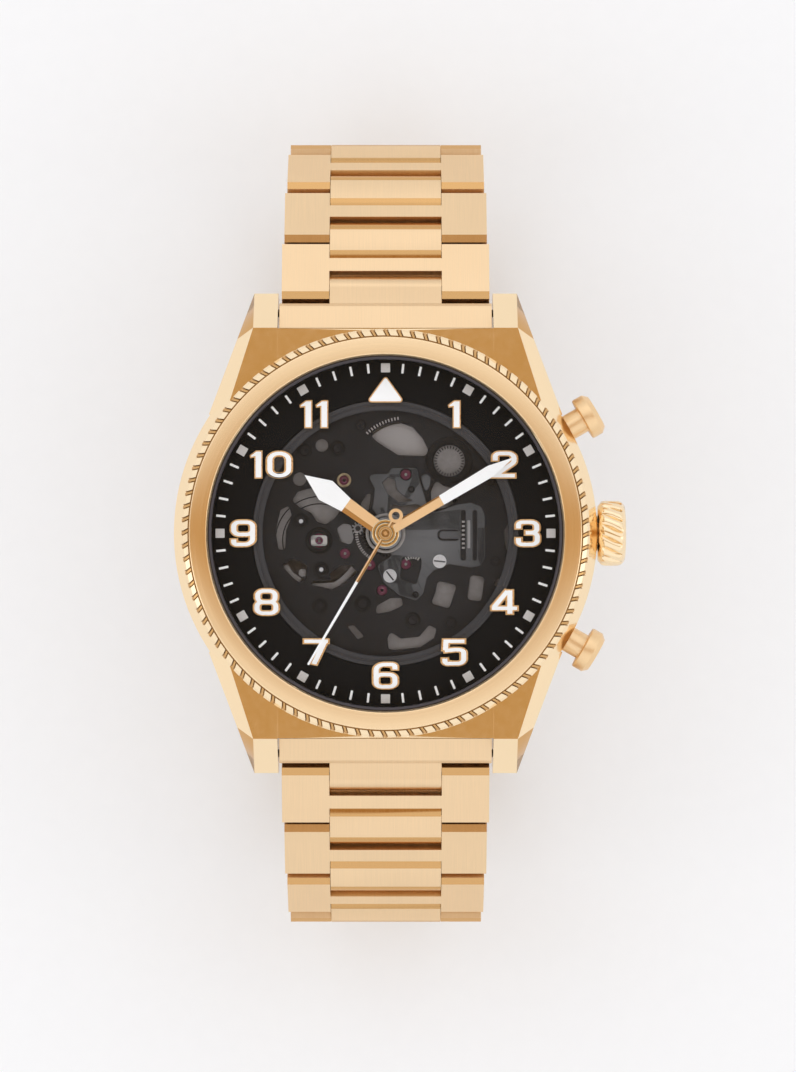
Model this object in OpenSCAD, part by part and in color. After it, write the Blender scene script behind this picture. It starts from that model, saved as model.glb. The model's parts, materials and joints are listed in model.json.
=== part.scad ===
// Skeleton wristwatch with a hinged link bracelet, closed as on a wrist.
// Millimetres. +Z is up out of the dial, +Y points to 12 o'clock, +X to the crown.
// The origin is the centre of the case back's outer face.

/* [Case] */
// Radius of the case body at 9 o'clock
case_r = 21.9; // [21.7:0.05:22.1]
// Height of the case back's outer rim under the case
back_h = 1.2; // [1.0:0.1:1.3]
// Height of the case body's top face, where the bezel sits
case_top = 9.0; // [8.8:0.1:9.2]
// Distance across the lugs, 12 to 6 o'clock
lug_to_lug = 49.9; // [49.6:0.1:50.4]
// Clear width between the lugs
lug_gap = 22.3; // [22.2:0.05:22.5]
// Width of each lug's tip
lug_tip_w = 2.5; // [2.2:0.1:2.8]
// Radius of the opening inside the case
cavity_r = 18.6; // [18.5:0.05:18.8]

/* [Bezel and crystal] */
// Outer radius of the coin-edge band
bezel_r = 21.0; // [20.8:0.1:21.1]
// Inner radius of the bezel's flat ring
bezel_bore_r = 18.15; // [18.0:0.05:18.3]
// Height of the bezel
bezel_h = 2.4; // [2.2:0.1:2.6]
// Number of teeth on the coin edge
coin_teeth = 96; // [60:1:120]
// Thickness of the crystal
crystal_h = 1.4; // [1.2:0.1:1.5]

/* [Dial] */
// Outer radius of the smoked dial glass
glass_r = 13.75; // [13.6:0.05:13.8]
// Height of the hour numerals
numeral_h = 2.9; // [2.6:0.1:3.0]

/* [Hands] */
// Length of the hour hand from the centre
hour_len = 10.3; // [9:0.1:11]
// Length of the minute hand from the centre
minute_len = 15.4; // [14:0.1:16]
// Length of the seconds hand from the centre
seconds_len = 15.7; // [14:0.1:16.2]
// Clockwise angle of the hour hand from 12 o'clock
hour_angle = -54.3; // [-60:0.1:-30]
// Clockwise angle of the minute hand from 12 o'clock
minute_angle = 59.4; // [0:0.1:360]
// Clockwise angle of the seconds hand from 12 o'clock
seconds_angle = 210.5; // [0:0.1:360]

/* [Crown and pushers] */
// Diameter of the crown
crown_d = 6.8; // [6:0.1:7.2]
// Length of the crown
crown_len = 2.9; // [2.6:0.1:3.2]
// Number of flutes around the crown
crown_flutes = 20; // [16:1:24]
// Diameter of a pusher's cap
pusher_d = 4.5; // [4:0.1:5]
// Angle of the pushers above and below the crown
pusher_angle = 30; // [28:1:32]

/* [Bracelet] */
// Number of links on each side of the clasp
link_count = 9; // [9:1:9]
// Distance from one link pin to the next
link_pitch = 6.1; // [6.05:0.05:6.15]
// Thickness of the links
link_t = 2.8; // [2.6:0.1:2.8]
// Width of the bracelet at the case
bracelet_w = 22; // [21.8:0.1:22.1]
// How much narrower each link is than the one before
link_taper = 0.44; // [0.4:0.02:0.46]
// Width of the centre links
centre_w = 11.6; // [11:0.1:12]

/* [Clasp] */
// Half the inner width of the clasp cover
cover_inner = 8.0; // [7.8:0.1:8.1]
// Half the width of the folding blades
blade_half = 6.6; // [6.2:0.1:6.7]

/* [Hidden] */
$fn = 96;
SIDES = ["12", "6"];

slip = 0.05;                 // radial clearance of running fits
stem_z = 5.15;               // height of the winding stem's axis
stem_r = 0.42;
pusher_z = 5.15;             // height of the pushers' axes

// Heights of the layers inside the case
back_glass_top = 1.3;
rotor_z = 1.65;
bridge_z = 2.8;
bridge_top = 3.75;
plate_z = 5.6;
plate_top = 6.8;
dial_z = 7.5;
dial_top = 8.1;
crystal_z = case_top + bezel_h - crystal_h - 0.1;

// Places of the movement's axes, seen from the dial side
centre_at = [0, 0];
third_at = [2.1, -3.2];
escape_at = [-1.6, -3.3];
pallet_at = [-4.2, -2.1];
balance_at = [-6.87, -0.75];
barrel_at = [2.1, 6.1];
minute_at = [-2.86, 0.5];
spare_jewel_at = [[-0.36, -5.9], [-4.3, 5.5]];

// Bracelet: how far each link is tilted down from level, from the case to the clasp
link_tilt = [20, 31, 52, 86, 101, 116, 132, 150, 168];
half_t = link_t / 2;
pin_r = 0.45;
pin_hole_r = pin_r + slip;
first_pin = [25.3, 4.9];     // y and z of the pin that joins link 1 to the end link
end_gap = 0.06;              // gap between the ends of two links laid straight
centre_end_r = half_t + slip;
function link_pin(i) = i == 0 ? first_pin
    : link_pin(i - 1) + link_pitch * [cos(link_tilt[i - 1]), -sin(link_tilt[i - 1])];
function link_w(i) = bracelet_w - link_taper * i;
clasp_pin = link_pin(link_count);

// Gear teeth: pitch radius from the distance to the partner and both tooth counts
function distance(a, b) = norm(b - a);
function bearing(a, b) = atan2(b[1] - a[1], b[0] - a[0]);
function pitch_r(a, b, mine, other) = distance(a, b) * mine / (mine + other);
function ring_points(n, steps) = [
    for (i = [0 : n - 1]) for (s = steps)
        let (a = 360 * (i + s[0]) / n) s[1] * [cos(a), sin(a)]];
function gear_points(n, r) = let (m = 2 * r / n)
    ring_points(n, [[-0.29, r - 1.2 * m], [-0.15, r + m], [0.15, r + m], [0.29, r - 1.2 * m]]);

function clock(angle, r) = [r * sin(angle), r * cos(angle)];

// ---------------------------------------------------------------- shared shapes

module at(p, z = 0) translate([p[0], p[1], z]) children();

module tube(r_out, r_in, h) difference() {
    cylinder(r = r_out, h = h);
    translate([0, 0, -1]) cylinder(r = r_in, h = h + 2);
}

// a bar along X, centred on x = 0, at height z and distance y
module bar_x(r, len, y, z) translate([-len / 2, y, z]) rotate([0, 90, 0]) cylinder(r = r, h = len);

// extrudes a (y, z) outline along X from x0 to x1
module side_extrude(x0, x1) translate([x0, 0, 0]) rotate([90, 0, 90]) linear_extrude(x1 - x0) children();

module mirrored_x() {
    children();
    mirror([1, 0, 0]) children();
}

module mirrored_y() {
    children();
    mirror([0, 1, 0]) children();
}

// a gear with a tooth, or a gap, pointing along the angle `toward`
module gear(n, r, h, toward = 0, gap = false)
    rotate([0, 0, toward + (gap ? 180 / n : 0)]) linear_extrude(h) polygon(gear_points(n, r));

// a spoked wheel: a toothed rim, a hub and arms
module train_wheel(n, r, h, toward, arms = 4) {
    rim = r * 0.78;
    difference() {
        gear(n, r, h, toward);
        translate([0, 0, -1]) cylinder(r = rim, h = h + 2);
    }
    cylinder(r = 0.75, h = h);
    for (i = [0 : arms - 1])
        rotate([0, 0, i * 360 / arms]) translate([0.5, -0.2, 0]) cube([rim - 0.4, 0.4, h]);
}

// ---------------------------------------------------------------- case

// Corners of one lug. The polished bevel runs from the top's outer edge down to the shoulder.
lug_in = lug_gap / 2;
lug_out = lug_gap / 2 + lug_tip_w;
tip_y = lug_to_lug / 2;
lug_points = concat(
    [for (p = [[lug_in, 12], [lug_in, 21.2], [lug_out, 21.2], [16.3, 12.9]]) [p[0], p[1], case_top]],
    [for (z = [7.3, back_h + 1.4]) for (p = [[15.35, 20.1], [18.3, 12.3]]) [p[0], p[1], z]],
    [for (z = [5.2, 2.9]) for (x = [lug_in, lug_out]) [x, tip_y, z]],
    [for (p = [[lug_in, 12], [lug_in, tip_y - 1.6], [lug_out, tip_y - 1.8], [14.9, 19.9], [17.4, 12.1]])
        [p[0], p[1], back_h]]);

module lug() difference() {
    hull() polyhedron(lug_points, [[for (i = [0 : len(lug_points) - 1]) i]]);
    translate([0, 0, -1]) cylinder(r = cavity_r + 1, h = 20);
    // the blind hole for the spring bar's tip
    translate([lug_in - 1, spring_bar_at[0], spring_bar_at[1]])
        rotate([0, 90, 0]) cylinder(r = spring_tip_r + slip, h = 2.1);
}

case_end_y = 21.15;          // where the case ends between the lugs
crown_tube_r = 1.5;

module case_middle() color("goldenrod") difference() {
    union() {
        rotate_extrude() polygon([
            [cavity_r, back_h], [20.8, back_h], [case_r, back_h + 1.4], [case_r, 7.6],
            [bezel_r, case_top], [cavity_r, case_top]]);
        mirrored_x() mirrored_y() lug();
        // the flat between bezel and end link
        mirrored_y() difference() {
            translate([-lug_in - 0.5, 10, 2]) cube([lug_gap + 1, case_end_y - 10, case_top - 2.1]);
            translate([0, 0, -1]) cylinder(r = cavity_r + 1, h = 20);
        }
        translate([20, 0, stem_z]) rotate([0, 90, 0]) cylinder(r = crown_tube_r, h = 2.9);
    }
    // straight between the lugs, to give the end links room
    mirrored_y() translate([-lug_in, case_end_y, 0]) cube([lug_gap, 5, 12]);
    translate([17, 0, stem_z]) rotate([0, 90, 0]) cylinder(r = 0.75 + slip, h = 8);
    for (a = [-pusher_angle, pusher_angle])
        rotate([0, 0, a]) translate([17, 0, pusher_z]) rotate([0, 90, 0])
            cylinder(r = 1.35 + slip, h = 8);
}

coin_root_r = bezel_r - 0.35;
coin_h = 1.5;
module bezel() color("gold") translate([0, 0, case_top]) difference() {
    union() {
        linear_extrude(coin_h) polygon(ring_points(coin_teeth, [
            [-0.35, bezel_r], [0.35, bezel_r], [0.42, coin_root_r], [0.58, coin_root_r]]));
        rotate_extrude() polygon([
            [17, 0], [20.3, 0], [20.3, bezel_h - 0.3], [20.1, bezel_h - 0.1],
            [bezel_bore_r + 0.25, bezel_h], [17, bezel_h]]);
    }
    translate([0, 0, -1]) cylinder(r = bezel_bore_r, h = 5);
}

module crystal() color([0.8, 0.85, 0.9, 0.3]) rotate_extrude() polygon([
    [0, crystal_z], [bezel_bore_r - 0.25, crystal_z],
    [bezel_bore_r - 0.25, crystal_z + crystal_h - 0.2],
    [bezel_bore_r - 0.45, crystal_z + crystal_h], [0, crystal_z + crystal_h]]);

module crystal_gasket() color("dimgray") translate([0, 0, crystal_z - 0.2])
    tube(bezel_bore_r, bezel_bore_r - 0.25, crystal_h);

module case_back() color("goldenrod") difference() {
    union() {
        rotate_extrude() polygon([
            [14, 0], [18.9, 0], [19.4, 0.5], [19.4, back_h], [14, back_h]]);
        translate([0, 0, back_h - 0.2]) cylinder(r = cavity_r - slip, h = 1.0);
    }
    translate([0, 0, -1]) cylinder(r = 14.5, h = 1 + back_glass_top);
    translate([0, 0, -1]) cylinder(r = 13.9, h = 5);
    // notches for the case wrench
    for (i = [0 : 5])
        rotate([0, 0, 60 * i]) translate([18.2, -1, -1]) cube([3, 2, 1.5]);
}

module case_back_crystal() color([0.8, 0.85, 0.9, 0.3]) cylinder(r = 14.45, h = back_glass_top);

module casing_ring() color("dimgray") difference() {
    translate([0, 0, 4.6]) tube(cavity_r - slip, 13.4, dial_z - 4.6);
    translate([12, 0, stem_z]) rotate([0, 90, 0]) cylinder(r = 1.1, h = 8);
    // room for the pushers' inner ends
    for (a = [-pusher_angle, pusher_angle])
        rotate([0, 0, a]) translate([17.2, 0, pusher_z]) rotate([0, 90, 0])
            cylinder(r = 1.9, h = 8);
}

// ---------------------------------------------------------------- dial

module dial_ring() color([0.1, 0.1, 0.1]) rotate_extrude() polygon([
    [glass_r + slip, dial_z], [18.5, dial_z], [18.5, dial_top], [glass_r + 0.3, dial_top],
    [glass_r + slip, dial_top - 0.15]]);

module dial_glass() color([0.25, 0.25, 0.27, 0.6]) translate([0, 0, dial_z]) difference() {
    union() {
        cylinder(r = glass_r, h = 0.3);
        tube(glass_r, 12.7, 0.45);
    }
    translate([0, 0, -1]) cylinder(r = 1.3, h = 3);
}

// strokes of the applied numerals in a box 1 wide and 1 high, as [from, to] pairs
digit_strokes = [
    [[[0, 0], [0, 1]], [[0, 1], [1, 1]], [[1, 1], [1, 0]], [[1, 0], [0, 0]]],
    [[[0.55, 0], [0.55, 1]], [[0.55, 1], [0.15, 0.8]]],
    [[[0, 0.8], [0.25, 1]], [[0.25, 1], [0.8, 1]], [[0.8, 1], [1, 0.75]], [[1, 0.75], [0, 0]],
     [[0, 0], [1, 0]]],
    [[[0, 1], [1, 1]], [[1, 1], [0.5, 0.58]], [[0.5, 0.58], [1, 0.4]], [[1, 0.4], [0.85, 0]],
     [[0.85, 0], [0, 0]]],
    [[[0.7, 0], [0.7, 1]], [[0.7, 1], [0, 0.3]], [[0, 0.3], [1, 0.3]]],
    [[[1, 1], [0.1, 1]], [[0.1, 1], [0.1, 0.55]], [[0.1, 0.55], [0.9, 0.55]],
     [[0.9, 0.55], [0.9, 0.05]], [[0.9, 0.05], [0, 0]]],
    [[[0.8, 1], [0.05, 0.4]], [[0.05, 0.4], [0.05, 0]], [[0.05, 0], [0.95, 0]],
     [[0.95, 0], [0.95, 0.5]], [[0.95, 0.5], [0.05, 0.5]]],
    [[[0, 1], [1, 1]], [[1, 1], [0.35, 0]]],
    [[[0.1, 0], [0.1, 1]], [[0.1, 1], [0.9, 1]], [[0.9, 1], [0.9, 0]], [[0.9, 0], [0.1, 0]],
     [[0.1, 0.53], [0.9, 0.53]]],
    [[[0.2, 0], [0.95, 0.6]], [[0.95, 0.6], [0.95, 1]], [[0.95, 1], [0.05, 1]],
     [[0.05, 1], [0.05, 0.5]], [[0.05, 0.5], [0.95, 0.5]]]];

module stroke(a, b, w) {
    translate(a) rotate([0, 0, atan2(b[1] - a[1], b[0] - a[0])])
        translate([-w / 2, -w / 2]) square([norm(b - a) + w, w]);
}

module digit(d, w, h, line) for (s = digit_strokes[d])
    stroke([s[0][0] * (w - line), s[0][1] * (h - line)],
           [s[1][0] * (w - line), s[1][1] * (h - line)], line);

digit_w = 2.85;
digit_line = 0.8;
one_w = 1.35;
module numeral(n) translate([digit_line / 2, -numeral_h / 2 + digit_line / 2]) {
    if (n >= 10) {
        second_w = n == 10 ? digit_w : one_w;
        translate([-(one_w + second_w) / 2 - 0.15, 0]) digit(1, one_w, numeral_h, digit_line);
        translate([(one_w - second_w) / 2 + 0.15, 0]) digit(n - 10, second_w, numeral_h, digit_line);
    }
    if (n < 10) {
        only_w = n == 1 ? one_w : digit_w;
        translate([-only_w / 2, 0]) digit(n, only_w, numeral_h, digit_line);
    }
}

// centre of each numeral: the upright digits sit on a slightly squared ring
function marker_at(n) = clock(30 * n, n % 3 == 0 ? 14.7 : 14.2) + [n == 10 ? 0.5 : n == 11 ? -0.3 : 0, 0];

module hour_markers() color("white") translate([0, 0, dial_top]) linear_extrude(0.35) {
    polygon([[0, 16.2], [-2.0, 13.6], [2.0, 13.6]]);
    for (n = [1 : 11]) translate(marker_at(n)) numeral(n);
}

// ---------------------------------------------------------------- hands

// a pointed hand along +Y, widest near its tip
module hand_blade(len, hub_r, root_w, wide_w, wide_at, h) linear_extrude(h) polygon([
    [-root_w / 2, hub_r * 0.6], [-wide_w / 2, wide_at], [0, len], [wide_w / 2, wide_at],
    [root_w / 2, hub_r * 0.6]]);

module hand(angle, z, h, hub_r, bore_r) rotate([0, 0, -angle]) translate([0, 0, z]) difference() {
    union() {
        children();
        cylinder(r = hub_r, h = h + 0.1);
    }
    translate([0, 0, -1]) cylinder(r = bore_r, h = 3);
}

module hour_hand() color("gold")
    hand(hour_angle, 8.75, 0.2, 1.45, 1.1) hand_blade(hour_len, 1.3, 1.45, 2.4, 7.6, 0.2);

module minute_hand() color("gold")
    hand(minute_angle, 9.15, 0.17, 1.08, 0.7) hand_blade(minute_len, 1.1, 1.0, 1.5, 12.4, 0.17);

module seconds_hand() color("gold")
    hand(seconds_angle, 9.5, 0.12, 0.77, 0.26) {
        linear_extrude(0.12) polygon([[-0.2, 0.4], [-0.12, seconds_len], [0.12, seconds_len], [0.2, 0.4]]);
        linear_extrude(0.12) polygon([[-0.22, -0.4], [-0.22, -1.6], [0.22, -1.6], [0.22, -0.4]]);
        translate([0, -2.1, 0]) cylinder(r = 0.75, h = 0.12);
    }

// ---------------------------------------------------------------- motion works

cannon_teeth = 12;
minute_teeth = 36;
minute_leaves = 10;
hour_teeth = 40;

module cannon_pinion() color("silver") difference() {
    union() {
        translate([0, 0, plate_top + 0.05])
            gear(cannon_teeth, pitch_r(centre_at, minute_at, cannon_teeth, minute_teeth), 0.2,
                 bearing(centre_at, minute_at), gap = true);
        translate([0, 0, 4.85 + 0.2]) cylinder(r = 0.5, h = plate_top - 4.8);
        translate([0, 0, plate_top + 0.2]) cylinder(r = 0.7, h = 9.32 - plate_top - 0.2);
    }
    translate([0, 0, 4]) cylinder(r = 0.32, h = 7);
}

minute_post_r = 0.22;
module minute_wheel() color("khaki") difference() {
    minute_wheel_solid();
    at(minute_at) cylinder(r = minute_post_r + slip, h = 20);
}

module minute_wheel_solid() at(minute_at) {
    translate([0, 0, plate_top + 0.05])
        gear(minute_teeth, pitch_r(centre_at, minute_at, minute_teeth, cannon_teeth), 0.18,
             bearing(minute_at, centre_at));
    translate([0, 0, plate_top + 0.2])
        gear(minute_leaves, pitch_r(centre_at, minute_at, minute_leaves, hour_teeth), 0.32,
             bearing(minute_at, centre_at), gap = true);
}

module hour_wheel() color("khaki") difference() {
    union() {
        translate([0, 0, plate_top + 0.32])
            gear(hour_teeth, pitch_r(centre_at, minute_at, hour_teeth, minute_leaves), 0.18,
                 bearing(centre_at, minute_at));
        translate([0, 0, plate_top + 0.32]) cylinder(r = 1.1, h = 8.95 - plate_top - 0.32);
    }
    translate([0, 0, 6]) cylinder(r = 0.75, h = 5);
}

// ---------------------------------------------------------------- movement

barrel_teeth = 80;
centre_leaves = 10;
centre_teeth = 80;
third_leaves = 10;
third_teeth = 75;
fourth_leaves = 10;
fourth_teeth = 70;
escape_leaves = 7;
escape_teeth = 20;
fourth_z = 3.95;
third_z = 4.4;
centre_z = 4.85;
escape_z = 5.2;
wheel_h = 0.2;
pivot_r = 0.12;
balance_z = 3.3;

// windows cut through the main plate, so that the train shows from the dial side
module plate_windows() {
    // over the barrel
    intersection() {
        translate([1.35, 8.2]) circle(r = 3.3);
        translate([-3, 8.5]) square([9, 5]);
    }
    // around the balance, left as two wide arms
    translate(balance_at) difference() {
        circle(r = 4.1);
        circle(r = 1.75);
        rotate([0, 0, 68]) square([12, 1.5], center = true);
        rotate([0, 0, -28]) translate([0, -1.1]) square([6, 2.2]);
    }
    // over the barrel's left side and over the escapement
    translate([-4.9, 8.6]) circle(r = 1.1);
    translate([-7.3, 8.0]) circle(r = 0.6);
    translate([0.25, -7.6]) polygon([[-0.9, -1.1], [0.9, -1.1], [1.3, 0.6], [-1.3, 0.6]]);
    translate([5.9, -6.4]) square([1.8, 1.8], center = true);
    translate([9.2, -5.6]) rotate([0, 0, -30]) square([1.9, 3.0], center = true);
    for (a = [-107, -77]) rotate([0, 0, a]) translate([10.9, 0]) square([1.4, 3.4], center = true);
    translate([9.4, 6.6]) circle(r = 1.3);
    translate([-9.6, 5.6]) circle(r = 0.7);
}

module main_plate() color([0.35, 0.35, 0.37]) difference() {
    union() {
        translate([0, 0, plate_z]) linear_extrude(plate_top - plate_z) difference() {
            circle(r = 13.3);
            difference() {
                plate_windows();
                translate(minute_at) circle(r = 0.6);
            }
        }
        at(minute_at, plate_z + 0.3) cylinder(r = minute_post_r, h = plate_top - plate_z + 0.2);
    }
    // recess for the barrel, holes for the jewels and the centre pipe
    at(barrel_at, plate_z - 1) cylinder(r = 6.0, h = 1.85);
    at(centre_at, 0) cylinder(r = 0.5 + slip, h = 20);
    for (p = [third_at, escape_at, pallet_at, barrel_at]) at(p) cylinder(r = 0.55, h = 20);
    for (p = spare_jewel_at) at(p, plate_top - 0.5) cylinder(r = 0.55, h = 5);
    at(balance_at) cylinder(r = 1.1, h = 20);
    // channel for the winding stem
    translate([6.4, -0.55, plate_z - 1]) cube([8, 1.1, 1.2]);
}

pillar_at = [[9.6, -5.4], [4.2, -11.2], [-4.6, -11.0], [-10.2, 6.6], [10.9, 4.4]];
rotor_bore_r = 0.6;
rotor_h = 0.9;
module train_bridge() color([0.55, 0.55, 0.58]) {
    pierced_bridge();
    rotor_post();
}

// the headed post that the rotor turns on
module rotor_post() {
    rotor_top = rotor_z + rotor_h;
    translate([0, 0, rotor_z - 0.2]) cylinder(r = rotor_bore_r + 0.4, h = 0.25);
    translate([0, 0, rotor_z]) cylinder(r = rotor_bore_r - slip, h = rotor_h + 0.1);
    difference() {
        translate([0, 0, rotor_top + 0.07]) cylinder(r = 1.2, h = 0.28);
        translate([0, 0, rotor_top + 0.2]) cylinder(r = 0.6, h = 1);
    }
}

module pierced_bridge() difference() {
    union() {
        at([0, 0], bridge_z) cylinder(r = 12.4, h = bridge_top - bridge_z);
        for (p = pillar_at) at(p, bridge_z) cylinder(r = 0.9, h = plate_z - bridge_z);
    }
    at(balance_at, bridge_z - 1) cylinder(r = 4.7, h = 5);
    at([-12, -4.5], bridge_z - 1) cylinder(r = 3.4, h = 5);
    for (p = [centre_at, third_at, escape_at]) at(p) cylinder(r = 0.55, h = 20);
    at(barrel_at) cylinder(r = 0.55, h = 20);
    // open work
    at(barrel_at, bridge_z - 1) for (a = [20, 110, 200, 290])
        rotate([0, 0, a]) translate([2.9, -1.1, 0]) cube([2.0, 2.2, 5]);
    for (a = [-60, -80, -100]) rotate([0, 0, a]) translate([8.2, -0.7, bridge_z - 1]) cube([2.4, 1.4, 5]);
}

cock_foot = [-11.0, -5.2];
module balance_cock() color([0.55, 0.55, 0.58]) difference() {
    union() {
        at(balance_at, bridge_z) cylinder(r = 1.3, h = 0.35);
        at(balance_at, bridge_z) rotate([0, 0, bearing(balance_at, cock_foot)])
            translate([0, -0.8, 0]) cube([distance(balance_at, cock_foot), 1.6, 0.35]);
        at(cock_foot, bridge_z) cylinder(r = 1.1, h = plate_z - bridge_z);
    }
    at(balance_at) cylinder(r = 0.55, h = 20);
}

module jewel(p, z, r = 0.55, h = 0.3) at(p, z) tube(r, pivot_r + 0.03, h);

module movement_jewels() color("deeppink") {
    for (p = [third_at, escape_at, pallet_at]) jewel(p, plate_top - 0.3);
    jewel(barrel_at, plate_top - 0.3);
    for (p = spare_jewel_at) jewel(p, plate_top - 0.3);
    jewel(balance_at, plate_top - 0.3, 1.1);
    for (p = [centre_at, third_at, escape_at]) jewel(p, bridge_z);
    jewel(barrel_at, bridge_z);
    jewel(balance_at, bridge_z, 0.55, 0.3);
}

screw_at = [[5.6, -2.9], [0.46, -4.4]];
module movement_screws() color("silver") for (p = screw_at) at(p, plate_top) difference() {
    cylinder(r = 0.68, h = 0.3);
    translate([-1, -0.1, 0.15]) cube([2, 0.2, 1]);
}

module barrel() color("khaki") at(barrel_at) {
    r = pitch_r(barrel_at, centre_at, barrel_teeth, centre_leaves);
    translate([0, 0, 5.12]) gear(barrel_teeth, r, 0.33, bearing(barrel_at, centre_at));
    translate([0, 0, 5.12]) cylinder(r = r - 0.4, h = 1.25);
    translate([0, 0, bridge_z]) cylinder(r = pivot_r, h = plate_top - bridge_z);
    translate([0, 0, bridge_top + 0.05]) cylinder(r = 0.8, h = 1.4);
}

module centre_wheel() color("khaki") difference() {
    union() {
        translate([0, 0, centre_z])
            train_wheel(centre_teeth, pitch_r(centre_at, third_at, centre_teeth, third_leaves),
                        wheel_h, bearing(centre_at, third_at));
        translate([0, 0, centre_z + wheel_h - 0.01])
            gear(centre_leaves, pitch_r(centre_at, barrel_at, centre_leaves, barrel_teeth), 0.4,
                 bearing(centre_at, barrel_at), gap = true);
    }
    translate([0, 0, 4]) cylinder(r = 0.5, h = 3);
}

module third_wheel() color("khaki") at(third_at) {
    translate([0, 0, third_z])
        train_wheel(third_teeth, pitch_r(third_at, centre_at, third_teeth, fourth_leaves),
                    wheel_h, bearing(third_at, centre_at));
    translate([0, 0, centre_z - 0.05])
        gear(third_leaves, pitch_r(third_at, centre_at, third_leaves, centre_teeth), 0.3,
             bearing(third_at, centre_at), gap = true);
    translate([0, 0, bridge_z]) cylinder(r = pivot_r, h = plate_top - bridge_z);
}

module fourth_wheel() color("khaki") {
    translate([0, 0, fourth_z])
        train_wheel(fourth_teeth, pitch_r(centre_at, escape_at, fourth_teeth, escape_leaves),
                    wheel_h, bearing(centre_at, escape_at));
    translate([0, 0, third_z - 0.1])
        gear(fourth_leaves, pitch_r(centre_at, third_at, fourth_leaves, third_teeth), 0.4,
             bearing(centre_at, third_at), gap = true);
    translate([0, 0, bridge_z]) cylinder(r = pivot_r, h = 2);
    translate([0, 0, fourth_z]) cylinder(r = 0.25, h = 9.6 - fourth_z);
}

escape_r = 2.15;
module escape_wheel() color("silver") at(escape_at) {
    translate([0, 0, escape_z]) difference() {
        linear_extrude(wheel_h) polygon(ring_points(escape_teeth,
            [[0, escape_r * 0.8], [0.35, escape_r], [0.45, escape_r], [0.55, escape_r * 0.8]]));
        for (a = [0 : 90 : 270])
            rotate([0, 0, a]) translate([0.95, 0, -1]) cylinder(r = 0.5, h = 3);
    }
    translate([0, 0, fourth_z - 0.05])
        gear(escape_leaves, pitch_r(escape_at, centre_at, escape_leaves, fourth_teeth), 0.3,
             bearing(escape_at, centre_at), gap = true);
    translate([0, 0, bridge_z]) cylinder(r = pivot_r, h = plate_top - bridge_z);
}

// a flat ring sector about the origin, centred on the +X direction
function sector_points(r_in, r_out, half_angle, steps = 8) = concat(
    [for (i = [0 : steps]) let (a = half_angle * (2 * i / steps - 1)) r_out * [cos(a), sin(a)]],
    [for (i = [steps : -1 : 0]) let (a = half_angle * (2 * i / steps - 1)) r_in * [cos(a), sin(a)]]);

module pallet_fork() color("silver") {
    to_escape = bearing(pallet_at, escape_at);
    to_balance = bearing(pallet_at, balance_at);
    translate([0, 0, escape_z]) linear_extrude(wheel_h) {
        translate(pallet_at) circle(r = 0.45);
        translate(pallet_at) rotate(to_balance) polygon([
            [0, -0.16], [1.6, -0.12], [1.6, -0.34], [2.0, -0.3], [2.0, -0.12], [1.8, -0.12],
            [1.8, 0.12], [2.0, 0.12], [2.0, 0.3], [1.6, 0.34], [1.6, 0.12], [0, 0.16]]);
        translate(escape_at) rotate(to_escape + 180)
            polygon(sector_points(escape_r + 0.33, escape_r + 0.68, 36));
    }
    at(pallet_at, escape_z - 0.4) cylinder(r = pivot_r, h = plate_top - escape_z + 0.4);
}

balance_r = 4.35;
module balance_wheel() color("gold") at(balance_at) {
    translate([0, 0, balance_z]) {
        tube(balance_r, balance_r - 0.45, 0.4);
        cylinder(r = 0.6, h = 0.4);
        for (a = [20, 140, 260])
            rotate([0, 0, a]) translate([0.4, -0.2, 0]) cube([balance_r - 0.6, 0.4, 0.4]);
    }
    translate([0, 0, bridge_z]) cylinder(r = pivot_r, h = plate_top - bridge_z);
    translate([0, 0, balance_z]) cylinder(r = 0.3, h = 2.1);
    translate([0, 0, escape_z]) cylinder(r = 0.62, h = wheel_h);
}

spring_turns = 6;
spring_steps = 90;
function spring_at(i, side) = let (f = i / spring_steps)
    (0.65 + 2.0 * f + side * 0.04) * [cos(360 * spring_turns * f), sin(360 * spring_turns * f)];
module hairspring() color("steelblue") at(balance_at, balance_z + 0.5) linear_extrude(0.12)
    polygon(concat([for (i = [0 : spring_steps]) spring_at(i, 1)],
                   [for (i = [spring_steps : -1 : 0]) spring_at(i, -1)]));

rotor_r = 12.4;
module rotor() color("gold") translate([0, 0, rotor_z]) difference() {
    union() {
        intersection() {
            union() {
                tube(rotor_r, rotor_r - 2.2, rotor_h);
                translate([0, 0, 0.4]) cylinder(r = rotor_r - 1, h = 0.5);
            }
            translate([-20, -20, -1]) cube([40, 20.8, 5]);
        }
        translate([0, 0, 0.1]) cylinder(r = 2.4, h = rotor_h - 0.1);
    }
    for (a = [200, 235, 305, 340]) rotate([0, 0, a]) translate([6.6, 0, -1]) cylinder(r = 1.5, h = 5);
    translate([0, 0, -1]) cylinder(r = rotor_bore_r, h = 5);
}

// ---------------------------------------------------------------- crown and pushers

crown_x = 22.0;
module crown() color("gold") {
    translate([crown_x, 0, stem_z]) rotate([0, 90, 0]) difference() {
        intersection() {
            linear_extrude(crown_len) polygon(ring_points(crown_flutes, [
                [-0.3, crown_d / 2], [0.3, crown_d / 2], [0.4, crown_d / 2 - 0.35],
                [0.6, crown_d / 2 - 0.35]]));
            rotate_extrude() polygon([
                [0, 0], [crown_d / 2 - 0.6, 0], [crown_d / 2, 0.5], [crown_d / 2, crown_len - 0.5],
                [crown_d / 2 - 0.6, crown_len], [0, crown_len]]);
        }
        translate([0, 0, -1]) tube(crown_tube_r + 0.2, 0.6, 2.2);
    }
    translate([7.0, 0, stem_z]) rotate([0, 90, 0]) {
        cylinder(r = stem_r, h = 16);
        translate([0, 0, 12.2]) cylinder(r = 0.75, h = 2.6);
    }
}

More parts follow.
